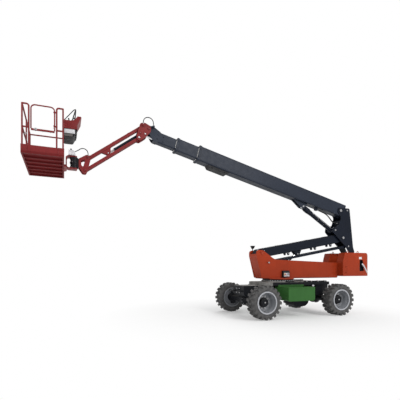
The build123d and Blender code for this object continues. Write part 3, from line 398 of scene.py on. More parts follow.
def skin(form, rings, loop=False):
    """Faces between neighbouring rings of corners; a ring of one corner closes an end."""
    for low, high in zip(rings, rings[1:] + rings[:1] if loop else rings[1:]):
        count = max(len(low), len(high))
        for index in range(count):
            after = (index + 1) % count
            corners = (low[index % len(low)], low[after % len(low)],
                       high[after % len(high)], high[index % len(high)])
            corners = list(dict.fromkeys(corners))
            if len(corners) > 2:
                form.faces.new(corners)


class Form:
    """A piece under construction: small forms gathered in one mesh, each with its own finish."""

    def __init__(self, name):
        self.name, self.mesh, self.finishes = name, bmesh.new(), []

    def add(self, form, finish, place=None):
        """Take in a copy of a small form, moved to its place."""
        if finish not in self.finishes:
            self.finishes.append(finish)
        index, place = self.finishes.index(finish), place or Matrix()
        moved = {vert: self.mesh.verts.new(place @ vert.co) for vert in form.verts}
        for face in form.faces:
            self.mesh.faces.new([moved[vert] for vert in face.verts]).material_index = index

    def use_up(self, form, finish, place=None):
        """Take in a small form that isn't needed again."""
        self.add(form, finish, place)
        form.free()

    def eased(self, form, bevel, finish, place):
        """Take in a small form with its edges eased."""
        bmesh.ops.bevel(form, geom=form.edges[:], offset=bevel, segments=2, profile=0.5, affect="EDGES")
        self.use_up(form, finish, place)

    def block(self, x, y, z, finish, bevel, place=None):
        """A box between pairs of low and high values."""
        form = bmesh.new()
        middle = [(low + high) / 2 for low, high in (x, y, z)]
        size = [high - low for low, high in (x, y, z)]
        bmesh.ops.create_cube(form, matrix=Matrix.Translation(middle) @ Matrix.Diagonal((*size, 1.0)))
        self.eased(form, min(bevel, min(size) * 0.4), finish, place)

    def plate(self, outline, thickness, finish, place, bevel=0.002):
        """An outline of (u, v) points made thick along the place's Z."""
        form = bmesh.new()
        face = form.faces.new([form.verts.new((u, v, 0.0)) for u, v in outline])
        grown = bmesh.ops.extrude_face_region(form, geom=[face])["geom"]
        lifted = [part for part in grown if isinstance(part, bmesh.types.BMVert)]
        bmesh.ops.translate(form, verts=lifted, vec=(0.0, 0.0, thickness))
        self.eased(form, min(bevel, thickness * 0.4), finish, place)

    def turned(self, profile, finish, place, sides, loop=False):
        """(radius, height) points turned about the place's Z axis."""
        form, rings = bmesh.new(), []
        angles = [2 * math.pi * n / sides for n in range(sides)]
        turns = [(math.cos(angle), math.sin(angle)) for angle in angles]
        for radius, height in profile:
            ring = turns if radius > 1e-6 else turns[:1]
            rings.append([form.verts.new((radius * c, radius * s, height)) for c, s in ring])
        skin(form, rings, loop)
        self.use_up(form, finish, place)

    def knob(self, profile, finish, place, sides):
        """A turned form closed flat at both ends."""
        first, last = (0.0, profile[0][1]), (0.0, profile[-1][1])
        self.turned([first, *profile, last], finish, place, sides)

    def tube(self, line, radius, finish, sides):
        """A round tube along a line of points."""
        form, rings = bmesh.new(), []
        line = [Vector(point) for point in line]
        across = (line[1] - line[0]).orthogonal()
        turns = [2 * math.pi * n / sides for n in range(sides)]
        for index, point in enumerate(line):
            ahead = (line[min(index + 1, len(line) - 1)] - line[max(index - 1, 0)]).normalized()
            across = (across - ahead * across.dot(ahead)).normalized()
            other = ahead.cross(across)
            spokes = [math.cos(turn) * across + math.sin(turn) * other for turn in turns]
            rings.append([form.verts.new(point + radius * spoke) for spoke in spokes])
        skin(form, [[form.verts.new(line[0])], *rings, [form.verts.new(line[-1])]])
        self.use_up(form, finish)

    def bar(self, route, radius, finish, sides, place=None):
        """A round bar bent smoothly along a route."""
        place = place or Matrix()
        self.tube(smooth_line([place @ Vector(point) for point in route]), radius, finish, sides)

    def hoop(self, radius, thick, finish, place, sides=40):
        """A round bar bent into a ring about the place's Z axis."""
        turns = [2 * math.pi * n / 12 for n in range(12)]
        section = [(radius + thick * math.cos(turn), thick * math.sin(turn)) for turn in turns]
        self.turned(section, finish, place, sides, True)

    def bolt(self, place, width, finish="steel"):
        """A hexagon head on its washer, standing along the place's Z."""
        thick, wide, reach = 0.12 * width, 0.98 * width, width / math.sqrt(3)
        self.knob([(wide, 0.0), (wide, 0.7 * thick), (0.9 * width, thick)], finish, place, 18)
        self.knob([(reach, thick), (reach, 0.62 * width), (0.84 * reach, 0.74 * width)], finish, place, 6)

    def screw(self, place, width, finish="steel"):
        """A round-headed cover screw with its socket."""
        shares = ((0.24, 0.25), (0.26, 0.42), (0.40, 0.36), (0.5, 0.12), (0.5, 0.0))
        self.knob([(radius * width, height * width) for radius, height in shares], finish, place, 16)

    def bolt_ring(self, centre, axis, radius, count, width, finish="steel", start=0.0):
        place = aimed(centre, axis)
        for index in range(count):
            angle = start + 2 * math.pi * index / count
            self.bolt(place @ at(radius * math.cos(angle), radius * math.sin(angle), 0.0), width, finish)

    def pin_end(self, centre, side, radius, keeper=None, finish="steel", plate="plastic"):
        """A pin's end with its chamfer and grease nipple, and a bolted keeper plate beside it."""
        place, rim = aimed(centre, ACROSS * side), radius - 0.001
        self.knob([(0.010, 0.006), (0.012, 0.009), (radius - 0.007, 0.009), (rim, 0.003), (rim, -0.004)],
                  finish, place, 28)
        self.turned([(0.0, 0.022), (0.0035, 0.022), (0.0055, 0.018), (0.0035, 0.014), (0.0065, 0.006),
                     (0.0, 0.004)], "steel", place, 10)
        if keeper is not None:
            turn = place @ spin(keeper, "Z") @ at(radius + 0.018, 0.0, 0.0)
            self.block((-0.018, 0.018), (-0.048, 0.048), (-0.012, 0.008), plate, 0.003, turn)
            for shift in (-0.032, 0.032):
                self.bolt(turn @ at(0.0, shift, 0.008), 0.017, plate)

    def flush_pin(self, centre, side, radius, rise):
        """A pin's end that stands hardly proud, where another piece passes close by."""
        rim = radius - 0.001
        self.knob([(radius - 1.5 * rise, rise), (rim, 0.2 * rise), (rim, -0.004)], "steel",
                  aimed(centre, ACROSS * side), 28)

    def done(self, body, slot):
        """The finished piece, riding on its body."""
        bmesh.ops.recalc_face_normals(self.mesh, faces=self.mesh.faces[:])
        data = bpy.data.meshes.new(self.name)
        self.mesh.to_mesh(data)
        self.mesh.free()
        data.shade_smooth()
        data.set_sharp_from_angle(angle=math.radians(32.0))
        for finish in self.finishes:
            data.materials.append(FINISHES[finish])
        piece = bpy.data.objects.new(self.name, data)
        bpy.context.scene.collection.objects.link(piece)
        if body:
            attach(piece, body)
        return piece


NODE_FINISHES = {
    "turntable": ("turntable_frame", "counterweight"),
    "jib": ("jib_root", "jib_upper", "jib_lower", "jib_head", "platform_bracket", "platform_rails",
            "toe_boards",
            "gate", "control_guard"),
    # The platform floor takes the darkened red: painted shade.
    "floor": ("platform_floor",),
    "boom": ("boom_base", "boom_mid", "boom_fly"),
    "riser": ("upright", "riser_arm", "riser_tie", "riser_barrel", "lift_barrel", "jib_barrel"),
    "chassis": ("chassis_frame", "tie_down_lugs", "front_axle", "rear_axle", "knuckle_left", "knuckle_right",
                "drive_unit", "slew_ring", "rotator"),
    "panel": ("platform_valve",),
    "tray": ("battery_trays",),
    "plastic": ("battery_packs", "boom_guide", "ground_controls", "control_box", "beacon"),
    "steel": ("drive_shafts",),
    "chrome": ("riser_rod", "lift_rod", "level_rod", "jib_rod"),
    "hose": ("hose_tail", "hose_root", "hose_head"),
    "rubber": tuple(f"tyre_{wheel}" for wheel, _, _ in WHEELS),
    "rim": tuple(f"rim_{wheel}" for wheel, _, _ in WHEELS),
}


# Operators


class LIFT_OT_stage(bpy.types.Operator):
    """Lay the floor, hang the lights and set the camera"""
    bl_idname = "boom_lift.stage"
    bl_label = "Stage"

    # Lamps: name, place, size and share of the key light's strength
    lamps = (("key", (-4.0, 14.0, 12.0), 8.0, 1.0), ("fill", (14.0, 5.0, 8.0), 9.0, 0.35),
             ("back", (-6.0, -14.0, 12.0), 10.0, 0.6))
    lit_point = Vector((1.5, 0.0, 2.5))
    floor_reach, floor_middle = 120.0, (0.5, 0.0, 0.0)
    fade_start, fade_end = 1.5, 5.5

    def execute(self, context):
        scene, stage = context.scene, context.scene.boom_lift_stage
        scene.view_settings.view_transform = "Standard"
        self.lay_floor(stage)
        self.light_sky(scene, stage)
        self.hang_lamps(scene, stage)
        camera = bpy.data.objects.new("camera", bpy.data.cameras.new("camera"))
        scene.collection.objects.link(camera)
        camera.location = stage.eye
        camera.rotation_euler = (QUARTER, 0.0, stage.heading - QUARTER)
        camera.data.lens = stage.lens
        camera.data.shift_x, camera.data.shift_y = stage.shift_x, stage.shift_y
        camera.data.clip_end = 500.0
        scene.camera = camera
        return {"FINISHED"}

    def lay_floor(self, stage):
        mesh = bpy.data.meshes.new("floor")
        reach = self.floor_reach
        corners = [(-reach, -reach, 0), (reach, -reach, 0), (reach, reach, 0), (-reach, reach, 0)]
        mesh.from_pydata(corners, [], [(0, 1, 2, 3)])
        floor = bpy.data.objects.new("floor", mesh)
        bpy.context.scene.collection.objects.link(floor)
        mesh.materials.append(self.floor_finish(stage))

    def floor_finish(self, stage):
        """Pale matt floor round the lift, fading to the white of the background."""
        finish = Finish("pale_floor")
        tone = finish.mix(finish.spread(finish.noise(0.6, 4.0), 0.0, 1.0), shade(stage.floor, 0.985),
                          stage.floor)
        finish.surface({"Base Color": tone, "Roughness": 0.9})
        away = finish.node("VectorMath", {0: finish.place, 1: self.floor_middle}, operation="DISTANCE")
        far = finish.spread(away.outputs["Value"], 0.25, 1.0, self.fade_start, self.fade_end)
        rays = finish.node("LightPath").outputs
        # Rays that show the background: straight, mirrored or through a lens
        seen = finish.math("MAXIMUM", rays["Is Camera Ray"], rays["Is Glossy Ray"])
        seen = finish.math("MAXIMUM", seen, rays["Is Transmission Ray"])
        white = finish.node("Emission", {"Strength": 1.0}).outputs["Emission"]
        choose = finish.node("MixShader", {"Fac": finish.math("MULTIPLY", far, seen),
                                           1: finish.shader.outputs["BSDF"], 2: white})
        set_sockets(finish.tree, finish.tree.nodes["Material Output"], {"Surface": choose.outputs["Shader"]})
        return finish.material

    def light_sky(self, scene, stage):
        """Soft light from all round, and a white background behind the lift."""
        scene.world = bpy.data.worlds.new("studio")
        scene.world.use_nodes = True
        tree, plain = scene.world.node_tree, (1.0, 1.0, 1.0, 1.0)
        soft = tree.nodes["Background"]
        set_sockets(tree, soft, {"Color": plain, "Strength": stage.sky})
        white = new_node(tree, "Background", {"Color": plain, "Strength": 1.0}, {})
        rays = new_node(tree, "LightPath", {}, {})
        choose = new_node(tree, "MixShader", {"Fac": rays.outputs["Is Camera Ray"],
                                              1: soft.outputs["Background"],
                                              2: white.outputs["Background"]}, {})
        set_sockets(tree, tree.nodes["World Output"], {"Surface": choose.outputs["Shader"]})

    def hang_lamps(self, scene, stage):
        for name, place, size, share in self.lamps:
            lamp = bpy.data.lights.new(name, "AREA")
            lamp.energy, lamp.size = stage.key * share, size
            holder = bpy.data.objects.new(name, lamp)
            scene.collection.objects.link(holder)
            holder.location = place
            holder.rotation_euler = (self.lit_point - Vector(place)).to_track_quat("-Z", "Y").to_euler()


def is_deck(centre, normal):
    """The top of the frame and the skirt of its front deck."""
    return centre.z > 0.959 and (normal.z > 0.5 or centre.x > 0.25)


def is_guard_hoop(centre, normal):
    """The round hoop over the console, ahead of a line that leans back with height."""
    return centre.z > 5.24 and centre.x + 0.289 * (centre.z - 5.225) > 6.67


def is_valve_cap(centre, normal):
    return centre.z > 4.6215


# Solids in two finishes: the second one, and the faces that have it
SECOND_FINISHES = {
    "chassis_frame": ("deck", is_deck),
    "control_guard": ("hose", is_guard_hoop),
    "platform_valve": ("plastic", is_valve_cap),
}


class LIFT_OT_paint_solids(bpy.types.Operator):
    """Give every solid its finish"""
    bl_idname = "boom_lift.paint_solids"
    bl_label = "Paint solids"

    def execute(self, context):
        make_finishes(context.scene.boom_lift_colours, context.scene.boom_lift_sizes.edge)
        for finish, names in NODE_FINISHES.items():
            for name in names:
                slots = frame["nodes"][name].data.materials
                slots.clear()
                slots.append(FINISHES[finish])
        for name, (finish, shows) in SECOND_FINISHES.items():
            solid = frame["nodes"][name].data
            solid.materials.append(FINISHES[finish])
            for face in solid.polygons:
                face.material_index = int(shows(face.center, face.normal))
        return {"FINISHED"}


# Hoses: the solid, its route, its diameter and the bodies at its two ends
HOSES = {
    "hose_tail": (((-1.4838, 0.0, 3.5643), (-1.673, 0.0, 3.5171), (-1.8738, 0.0, 3.4493),
                   (-2.0288, 0.0, 3.3423),
                   (-2.2204, 0.0, 3.1298), (-2.4204, 0.0, 3.1298)), 0.040, "boom_base", "upright"),
    "hose_root": (((4.4785, 0.165, 5.5682), (4.4785, 0.165, 5.6927), (4.5666, 0.165, 5.7808),
                   (4.6912, 0.165, 5.7808), (4.7793, 0.165, 5.6927), (4.7793, 0.165, 5.5784)), 0.024,
                  "boom_fly", "jib_root"),
    "hose_head": (((6.2649, 0.12, 4.5144), (6.2649, 0.12, 4.6144), (6.3359, 0.12, 4.6894),
                   (6.4389, 0.12, 4.6954),
                   (6.5223, 0.12, 4.6243), (6.615, 0.12, 4.575)), 0.022, "jib_head", "platform"),
}


class LIFT_OT_hoses(bpy.types.Operator):
    """Hang the hydraulic hoses between their glands"""
    bl_idname = "boom_lift.hoses"
    bl_label = "Hoses"

    def execute(self, context):
        for node, (route, diameter, start_body, end_body) in HOSES.items():
            line = smooth_line(route)
            hose = Form(f"{node}_rubber")
            hose.tube(line, diameter / 2, "hose", 20)
            piece = hose.done(None, "hose_rubber")
            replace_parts(piece, node)
            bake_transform(piece)
            for end, (near, after), body in (("start", route[:2], start_body),
                                             ("end", route[:-3:-1], end_body)):
                self.crimp(f"{node}_{end}_crimp", near, Vector(after) - Vector(near), diameter / 2, body)
        return {"FINISHED"}

    def crimp(self, name, point, axis, radius, body):
        """The ribbed steel ferrule and its nut at a hose's end."""
        ferrule, place = Form(name), aimed(point, axis)
        wide, profile = 1.22 * radius, [(radius, 0.0)]
        for rib in range(5):
            low = radius * (0.9 + 0.34 * rib)
            profile += [(0.93 * wide, low), (wide, low + 0.08 * radius), (wide, low + 0.24 * radius),
                        (0.93 * wide, low + 0.32 * radius)]
        ferrule.turned(profile + [(radius, radius * 2.7)], "steel", place, 28)
        nut = ((0.9, 0.0), (1.4, 0.0), (1.4, 0.7), (1.28, 0.82), (0.9, 0.82))
        ferrule.turned([(wide * radius, high * radius) for wide, high in nut], "steel", place, 6)
        ferrule.done(body, "steel")


def wheel_place(x, side):
    """A wheel's middle, its +Z outward."""
    return at(x, side * WHEEL_Y, AXLE_Z) @ spin(-side * QUARTER, "X") @ spin(side * QUARTER, "Z")


class LIFT_OT_tyres(bpy.types.Operator):
    """Mould the lugged tyres"""
    bl_idname = "boom_lift.tyres"
    bl_label = "Tyres"

    # Radius and half width from the bead up the ribbed sidewall to the crown
    half_section = [(0.3115, 0.146), (0.3125, 0.150), (0.318, 0.1535), (0.342, 0.1625), (0.345, 0.1660),
                    (0.350, 0.1670), (0.353, 0.1660), (0.366, 0.1705), (0.370, 0.1735), (0.376, 0.1740),
                    (0.388, 0.1775), (0.398, 0.1795), (0.412, 0.1795), (0.424, 0.1765), (0.434, 0.168),
                    (0.447, 0.157), (0.459, 0.143), (0.4645, 0.128), (0.466, 0.09), (0.4665, 0.03)]
    lug_top = [(0.5019, -0.0594, 0.172), (0.5019, 0.0206, 0.172), (0.5019, 0.0594, 0.008),
               (0.5019, 0.0094, 0.008)]
    lug_foot = [(0.412, -0.0644, 0.1785), (0.412, 0.0256, 0.1785), (0.452, 0.0664, 0.001),
                (0.452, 0.0034, 0.001)]

    def execute(self, context):
        lugs = context.scene.boom_lift_sizes.lugs
        section = self.half_section + [(radius, -wide) for radius, wide in reversed(self.half_section)]
        lug = self.lug()
        for wheel, x, side in WHEELS:
            tyre, place = Form(f"lugged_tyre_{wheel}"), wheel_place(x, side)
            tyre.turned(section, "rubber", place, 96, True)
            for row, hand in enumerate(BOTH):
                for index in range(lugs):
                    turn = spin((2 * index + row) * math.pi / lugs, "Z")
                    tyre.add(lug, "rubber", place @ turn @ Matrix.Diagonal((1.0, 1.0, hand, 1.0)))
            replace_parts(tyre.done(f"wheel_{wheel}", "tyre_rubber"), f"tyre_{wheel}")
        lug.free()
        return {"FINISHED"}

    def lug(self):
        """One slanted lug at the top of the tyre's local X axis, drafted outward to its foot."""
        form = bmesh.new()
        upper, lower = ([form.verts.new(corner) for corner in ring] for ring in (self.lug_top, self.lug_foot))
        crown = form.faces.new(upper)
        skin(form, [lower, upper])
        form.faces.new(lower)
        bmesh.ops.bevel(form, geom=crown.edges[:], offset=0.007, segments=2, profile=0.6, affect="EDGES")
        return form


class LIFT_OT_wheels(bpy.types.Operator):
    """Fit the rims with nuts, hub caps and valves"""
    bl_idname = "boom_lift.wheels"
    bl_label = "Wheels"

    # Radius and height outward from the wheel's middle
    disc_back, disc_front, bore = -0.060, -0.036, 0.1303
    dish = [(bore, disc_back), (0.235, disc_back), (0.266, -0.090), (0.290, -0.114), (0.296, -0.124),
            (0.296, -0.168), (0.300, -0.1743), (0.328, -0.1743), (0.332, -0.171), (0.332, -0.1625),
            (0.328, -0.1603), (0.310, -0.1603), (0.310, 0.1603), (0.328, 0.1603), (0.332, 0.1625),
            (0.332, 0.171), (0.328, 0.1743), (0.301, 0.1743), (0.296, 0.170), (0.292, 0.150), (0.288, 0.146),
            (0.284, 0.1103), (0.280, 0.106), (0.255, 0.004), (0.246, -0.018), (0.235, -0.032),
            (0.225, disc_front), (bore, disc_front)]
    # A thin ring just proud of the rim's outer lip, carrying the brighter paint: painted highlight.
    lip = [(0.294, 0.1750), (0.300, 0.1762), (0.329, 0.1762), (0.333, 0.1735), (0.333, 0.1700),
           (0.326, 0.1700),
           (0.294, 0.1700)]
    hub_ring = [(bore, disc_front), (0.150, disc_front), (0.148, -0.029), (bore, -0.026)]
    valve = ((0.262, 0.0, 0.010), (0.255, 0.0, 0.030), (0.248, 0.0, 0.065))
    cap = [(0.030, 0.056), (0.035, 0.050), (0.035, 0.044), (0.092, 0.044), (0.100, 0.038), (0.120, 0.038),
           (0.1275, 0.032), (0.1275, 0.021)]
    plug = [(0.016, 0.070), (0.023, 0.064), (0.023, 0.055)]

    def execute(self, context):
        nuts = context.scene.boom_lift_sizes.wheel_nuts
        for wheel, x, side in WHEELS:
            rim, place, axis = Form(f"dished_rim_{wheel}"), wheel_place(x, side), ACROSS * side
            rim.turned(self.dish, "rim", place, 72, True)
            # The bright lip ring over the dish: painted highlight.
            rim.turned(self.lip, "lip", place, 72, True)
            rim.bolt_ring(place @ Vector((0.0, 0.0, self.disc_front)), axis, 0.182, nuts, 0.032)
            rim.bar(self.valve, 0.006, "hose", 10, place)
            rim.turned(self.hub_ring, "chassis", place, 48)
            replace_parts(rim.done(f"wheel_{wheel}", "rim_silver"), f"rim_{wheel}")
            hub = Form(f"hub_cap_{wheel}")
            hub.knob(self.cap, "chassis", place, 48)
            hub.bolt_ring(place @ Vector((0.0, 0.0, 0.038)), axis, 0.109, 8, 0.017, "chassis", 0.2)
            hub.knob(self.plug, "steel", place, 24)
            hub.done(f"wheel_{wheel}", "black_metal")
        return {"FINISHED"}


class LIFT_OT_chassis(bpy.types.Operator):
    """Fit the deck, axles and frame ends"""
    bl_idname = "boom_lift.chassis"
    bl_label = "Chassis"

    deck_top, skid_top, sheet_top = 1.06, 1.098, 1.068
    ring_centre, ring_radius = (0.15, 0.0, 1.1), 0.5195
    frame_end, hitch_z, lamp_z = 1.65, 0.80, 1.01
    hub_face, hub_bolts, hub_bolt_radius = 0.075, 14, 0.181

    def execute(self, context):
        sizes = context.scene.boom_lift_sizes
        self.deck(sizes)
        self.frame_ends()
        self.axles()
        return {"FINISHED"}

    def deck(self, sizes):
        """The slew ring's bolts, and the skids, cover sheets and side bolts of the deck."""
        ring = Form("slew_ring_bolts")
        ring.bolt_ring(self.ring_centre, UP, self.ring_radius, sizes.ring_bolts, 0.024)
        ring.done("chassis", "steel")
        fittings, low = Form("deck_fittings"), self.deck_top
        for side in BOTH:
            fittings.block((-1.36, -0.48), span(side, 0.545, 0.605), (low, self.skid_top), "plastic", 0.008)
            for x in (-1.28, -1.0, -0.72, -0.54):
                fittings.block(about(x, 0.014), span(side, 0.538, 0.612), (low, 1.104), "steel", 0.003)
            fittings.block((-1.22, -0.66), span(side, 0.16, 0.40), (low, self.sheet_top), "deck", 0.003)
            for x in (-1.19, -0.94, -0.69):
                for y in (0.185, 0.375):
                    fittings.screw(at(x, side * y, self.sheet_top), sizes.screw * 1.4)
            for x in (-0.28, 0.10, 0.48):
                fittings.bolt(outward(side, x, 0.62, 1.01), 0.024, "chassis")
        fittings.done("chassis", "black_plastic")

    def frame_ends(self):
        """A bolted socket plate on each end of the frame, the rear lamps and the inner brackets."""
        ends, thick = Form("frame_end_fittings"), 0.010
        for end in BOTH:
            face = aimed((end * self.frame_end, 0.0, self.hitch_z), AHEAD * end)
            ends.block((-0.11, 0.11), (-0.085, 0.085), (0.0, thick), "chassis", 0.004, face)
            for u in (-0.09, 0.09):
                for v in (-0.065, 0.065):
                    ends.bolt(face @ at(u, v, thick), 0.019)
            ends.block((-0.045, 0.045), (-0.035, 0.035), (thick, 0.045), "plastic", 0.008, face)
            ends.block((-0.038, 0.038), (0.020, 0.030), (0.043, 0.052), "plastic", 0.003, face)
        for side in BOTH:
            lamp = aimed((-1.5, side * 0.50, self.lamp_z), -AHEAD)
            ends.knob([(0.042, 0.0), (0.042, 0.030), (0.037, 0.036)], "plastic", lamp, 32)
            ends.turned([(0.0, 0.046), (0.018, 0.045), (0.034, 0.038), (0.036, 0.034), (0.0, 0.034)], "lens",
                        lamp, 32)
            ends.block((-0.95, -0.90), span(side, 0.30, 0.352), (0.70, 0.88), "plastic", 0.006)
        ends.done("chassis", "black_metal")

    def axles(self):
        """Bolted rings on the axles' gear housings, and caps on the steering pins."""
        axle = Form("axle_fittings")
        flange = [(0.165, 0.0), (0.196, 0.0), (0.196, 0.014), (0.190, 0.018), (0.165, 0.018)]
        for x in (AXLE_X, -AXLE_X):
            for side in BOTH:
                axle.turned(flange, "chassis", outward(side, x, self.hub_face, AXLE_Z), 48)
                for index in range(self.hub_bolts):
                    angle = 2 * math.pi * (index + 0.5) / self.hub_bolts
                    if math.sin(angle) < 0.45:
                        spot = Vector((self.hub_bolt_radius * math.cos(angle), 0.0,
                                       self.hub_bolt_radius * math.sin(angle)))
                        middle = Vector((x, side * (self.hub_face + 0.018), AXLE_Z))
                        axle.bolt(aimed(middle + spot, ACROSS * side), 0.016)
        low, top = (corner[2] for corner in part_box("knuckle_left"))
        for side in BOTH:
            for z, axis in ((top, UP), (low, DOWN)):
                cap = aimed((AXLE_X, side * 0.90, z), axis)
                axle.knob([(0.030, 0.016), (0.036, 0.010), (0.050, 0.008), (0.052, 0.001)], "chassis", cap,
                          32)
                axle.bolt_ring(cap @ Vector((0.0, 0.0, 0.008)), axis, 0.043, 4, 0.010)
        axle.done("chassis", "black_metal")


class LIFT_OT_battery_trays(bpy.types.Operator):
    """Fit the battery trays with rims, bolts, a knob and cells"""
    bl_idname = "boom_lift.battery_trays"
    bl_label = "Battery trays"

    rim_z, cell_top, cell_lid = (0.905, 0.935), 0.8545, 0.020
    rows, columns, pitch_x, pitch_y = 3, 6, 0.155, 0.205

    def execute(self, context):
        for hand, side in SIDES.items():
            self.tray(f"battery_tray_fittings_{hand}", side)
            self.cells(f"battery_cells_{hand}", side)
        return {"FINISHED"}

    def tray(self, name, side):
        tray = Form(name)
        tray.block((-0.392, 0.592), span(side, 1.126, 1.156), self.rim_z, "tray", 0.006)
        for x in (-0.392, 0.562):
            tray.block((x, x + 0.030), span(side, 0.66, 1.126), self.rim_z, "tray", 0.006)
        for x in (-0.33, -0.02, 0.22, 0.53):
            tray.bolt(outward(side, x, 1.15, 0.545), 0.018, "tray")
        for x, axis in ((0.59, AHEAD), (-0.39, -AHEAD)):
            for y in (0.56, 1.07):
                tray.bolt(aimed((x, side * y, 0.70), axis), 0.020, "tray")
        tray.turned([(0.0, 0.052), (0.018, 0.050), (0.030, 0.040), (0.033, 0.026), (0.028, 0.012),
                     (0.014, 0.006),
                     (0.012, -0.012), (0.0, -0.012)], "panel", at(-0.355, side * 1.105, 0.945), 28)
        tray.done("chassis", "tray_green")

    def cells(self, name, side):
        """Lidded cells with filler caps, joined along each row by steel links."""
        cells, top = Form(name), self.cell_top
        lid = top + self.cell_lid
        middles = [(-0.29 + self.pitch_x * column, 0.60 + self.pitch_y * row) for row in range(self.rows)
                   for column in range(self.columns)]
        for x, y in middles:
            cells.block(about(x, 0.072), span(side, y - 0.095, y + 0.095), (top, lid), "plastic", 0.006)
            for shift in (-0.05, 0.0, 0.05):
                cells.knob([(0.010, 0.009), (0.013, 0.005), (0.013, 0.0)], "panel",
                           at(x, side * (y + shift), lid), 14)
        for (x, y), (next_x, next_y) in zip(middles, middles[1:]):
            if y == next_y:
                cells.block((x + 0.045, next_x - 0.045), span(side, y + 0.060, y + 0.082),
                            (top + 0.021, top + 0.029), "steel", 0.003)
        cells.done("chassis", "black_plastic")


class LIFT_OT_turntable(bpy.types.Operator):
    """Fit the turntable with pins, cover bolts, ground controls and beacon trim"""
    bl_idname = "boom_lift.turntable"
    bl_label = "Turntable"

    nose_face, spine_face = 0.242, 0.23
    beacon_foot = at(0.99, -0.215, 2.09)
    beacon_lid = [(0.078, 0.146), (0.084, 0.147), (0.086, 0.153), (0.080, 0.158), (0.062, 0.157),
                  (0.056, 0.152),
                  (0.030, 0.156), (0.0, 0.158), (0.0, 0.149), (0.078, 0.146)]

    def execute(self, context):
        sizes = context.scene.boom_lift_sizes
        pins = Form("turntable_pins")
        for side in BOTH:
            pins.pin_end((0.90, side * self.nose_face, 1.99), side, 0.045, 2.3, "turntable", "turntable")
            pins.pin_end((0.66, side * self.nose_face, 1.69), side, 0.030, 2.3, "steel", "turntable")
        pins.done("turntable", "steel")
        covers = Form("turntable_covers")
        for side in BOTH:
            for z in (1.28, 1.40, 1.52):
                covers.bolt(outward(side, -2.14, self.spine_face, z), sizes.bolt, "turntable")
            for x in (-1.80, -1.20, -0.60):
                covers.screw(outward(side, x, self.spine_face, 1.236), sizes.screw * 1.5, "turntable")
        covers.done("turntable", "turntable_orange")
        self.ground_panel(sizes)
        beacon = Form("beacon_trim")
        beacon.turned(self.beacon_lid, "plastic", self.beacon_foot, 40)
        for height, radius in ((0.072, 0.042), (0.092, 0.053), (0.112, 0.064)):
            beacon.hoop(radius, 0.0035, "plastic", self.beacon_foot @ at(0.0, 0.0, height))
        beacon.bolt_ring(self.beacon_foot.translation, UP, 0.011, 3, 0.006)
        beacon.done("turntable", "black_plastic")
        return {"FINISHED"}

    def ground_panel(self, sizes):
        """The panel of the ground controls with its switches, and the hood over it."""
        panel, top = Form("ground_panel"), 0.005
        face = aimed((0.04, 0.3245, 1.290), (0.0, 1.0, -0.066))
        panel.block((-0.105, 0.105), (-0.062, 0.062), (0.0, top), "panel", 0.003, face)
        stop_button(panel, face @ at(-0.070, 0.022, top))
        panel.knob([(0.010, 0.016), (0.014, 0.012), (0.014, 0.0)], "steel", face @ at(-0.020, 0.026, top), 20)
        panel.block((0.025, 0.088), (0.008, 0.046), (0.004, 0.010), "plastic", 0.003, face)
        for index in range(6):
            toggle(panel, face @ at(-0.085 + 0.034 * index, -0.034, top))
        for u in (-0.095, 0.095):
            for v in (-0.053, 0.053):
                panel.screw(face @ at(u, v, top), sizes.screw * 0.6)
        panel.block((-0.086, 0.166), (0.226, 0.306), (1.420, 1.427), "plastic", 0.003)
        panel.done("turntable", "black_plastic")


def stop_button(form, place):
    """A red mushroom on its yellow ring."""
    form.knob([(0.026, 0.0), (0.026, 0.005), (0.022, 0.008)], "bezel", place, 32)
    form.turned([(0.0, 0.034), (0.010, 0.033), (0.018, 0.028), (0.020, 0.022), (0.013, 0.018), (0.010, 0.008),
                 (0.0, 0.008)], "stop", place, 32)


def toggle(form, place):
    """A toggle switch: hexagon nut and tapered lever."""
    form.knob([(0.009, 0.0), (0.009, 0.004), (0.005, 0.005), (0.005, 0.009)], "steel", place, 6)
    form.turned([(0.0, 0.008), (0.0025, 0.008), (0.004, 0.026), (0.003, 0.029), (0.0, 0.030)], "steel",
                place @ spin(0.25, "X"), 12)


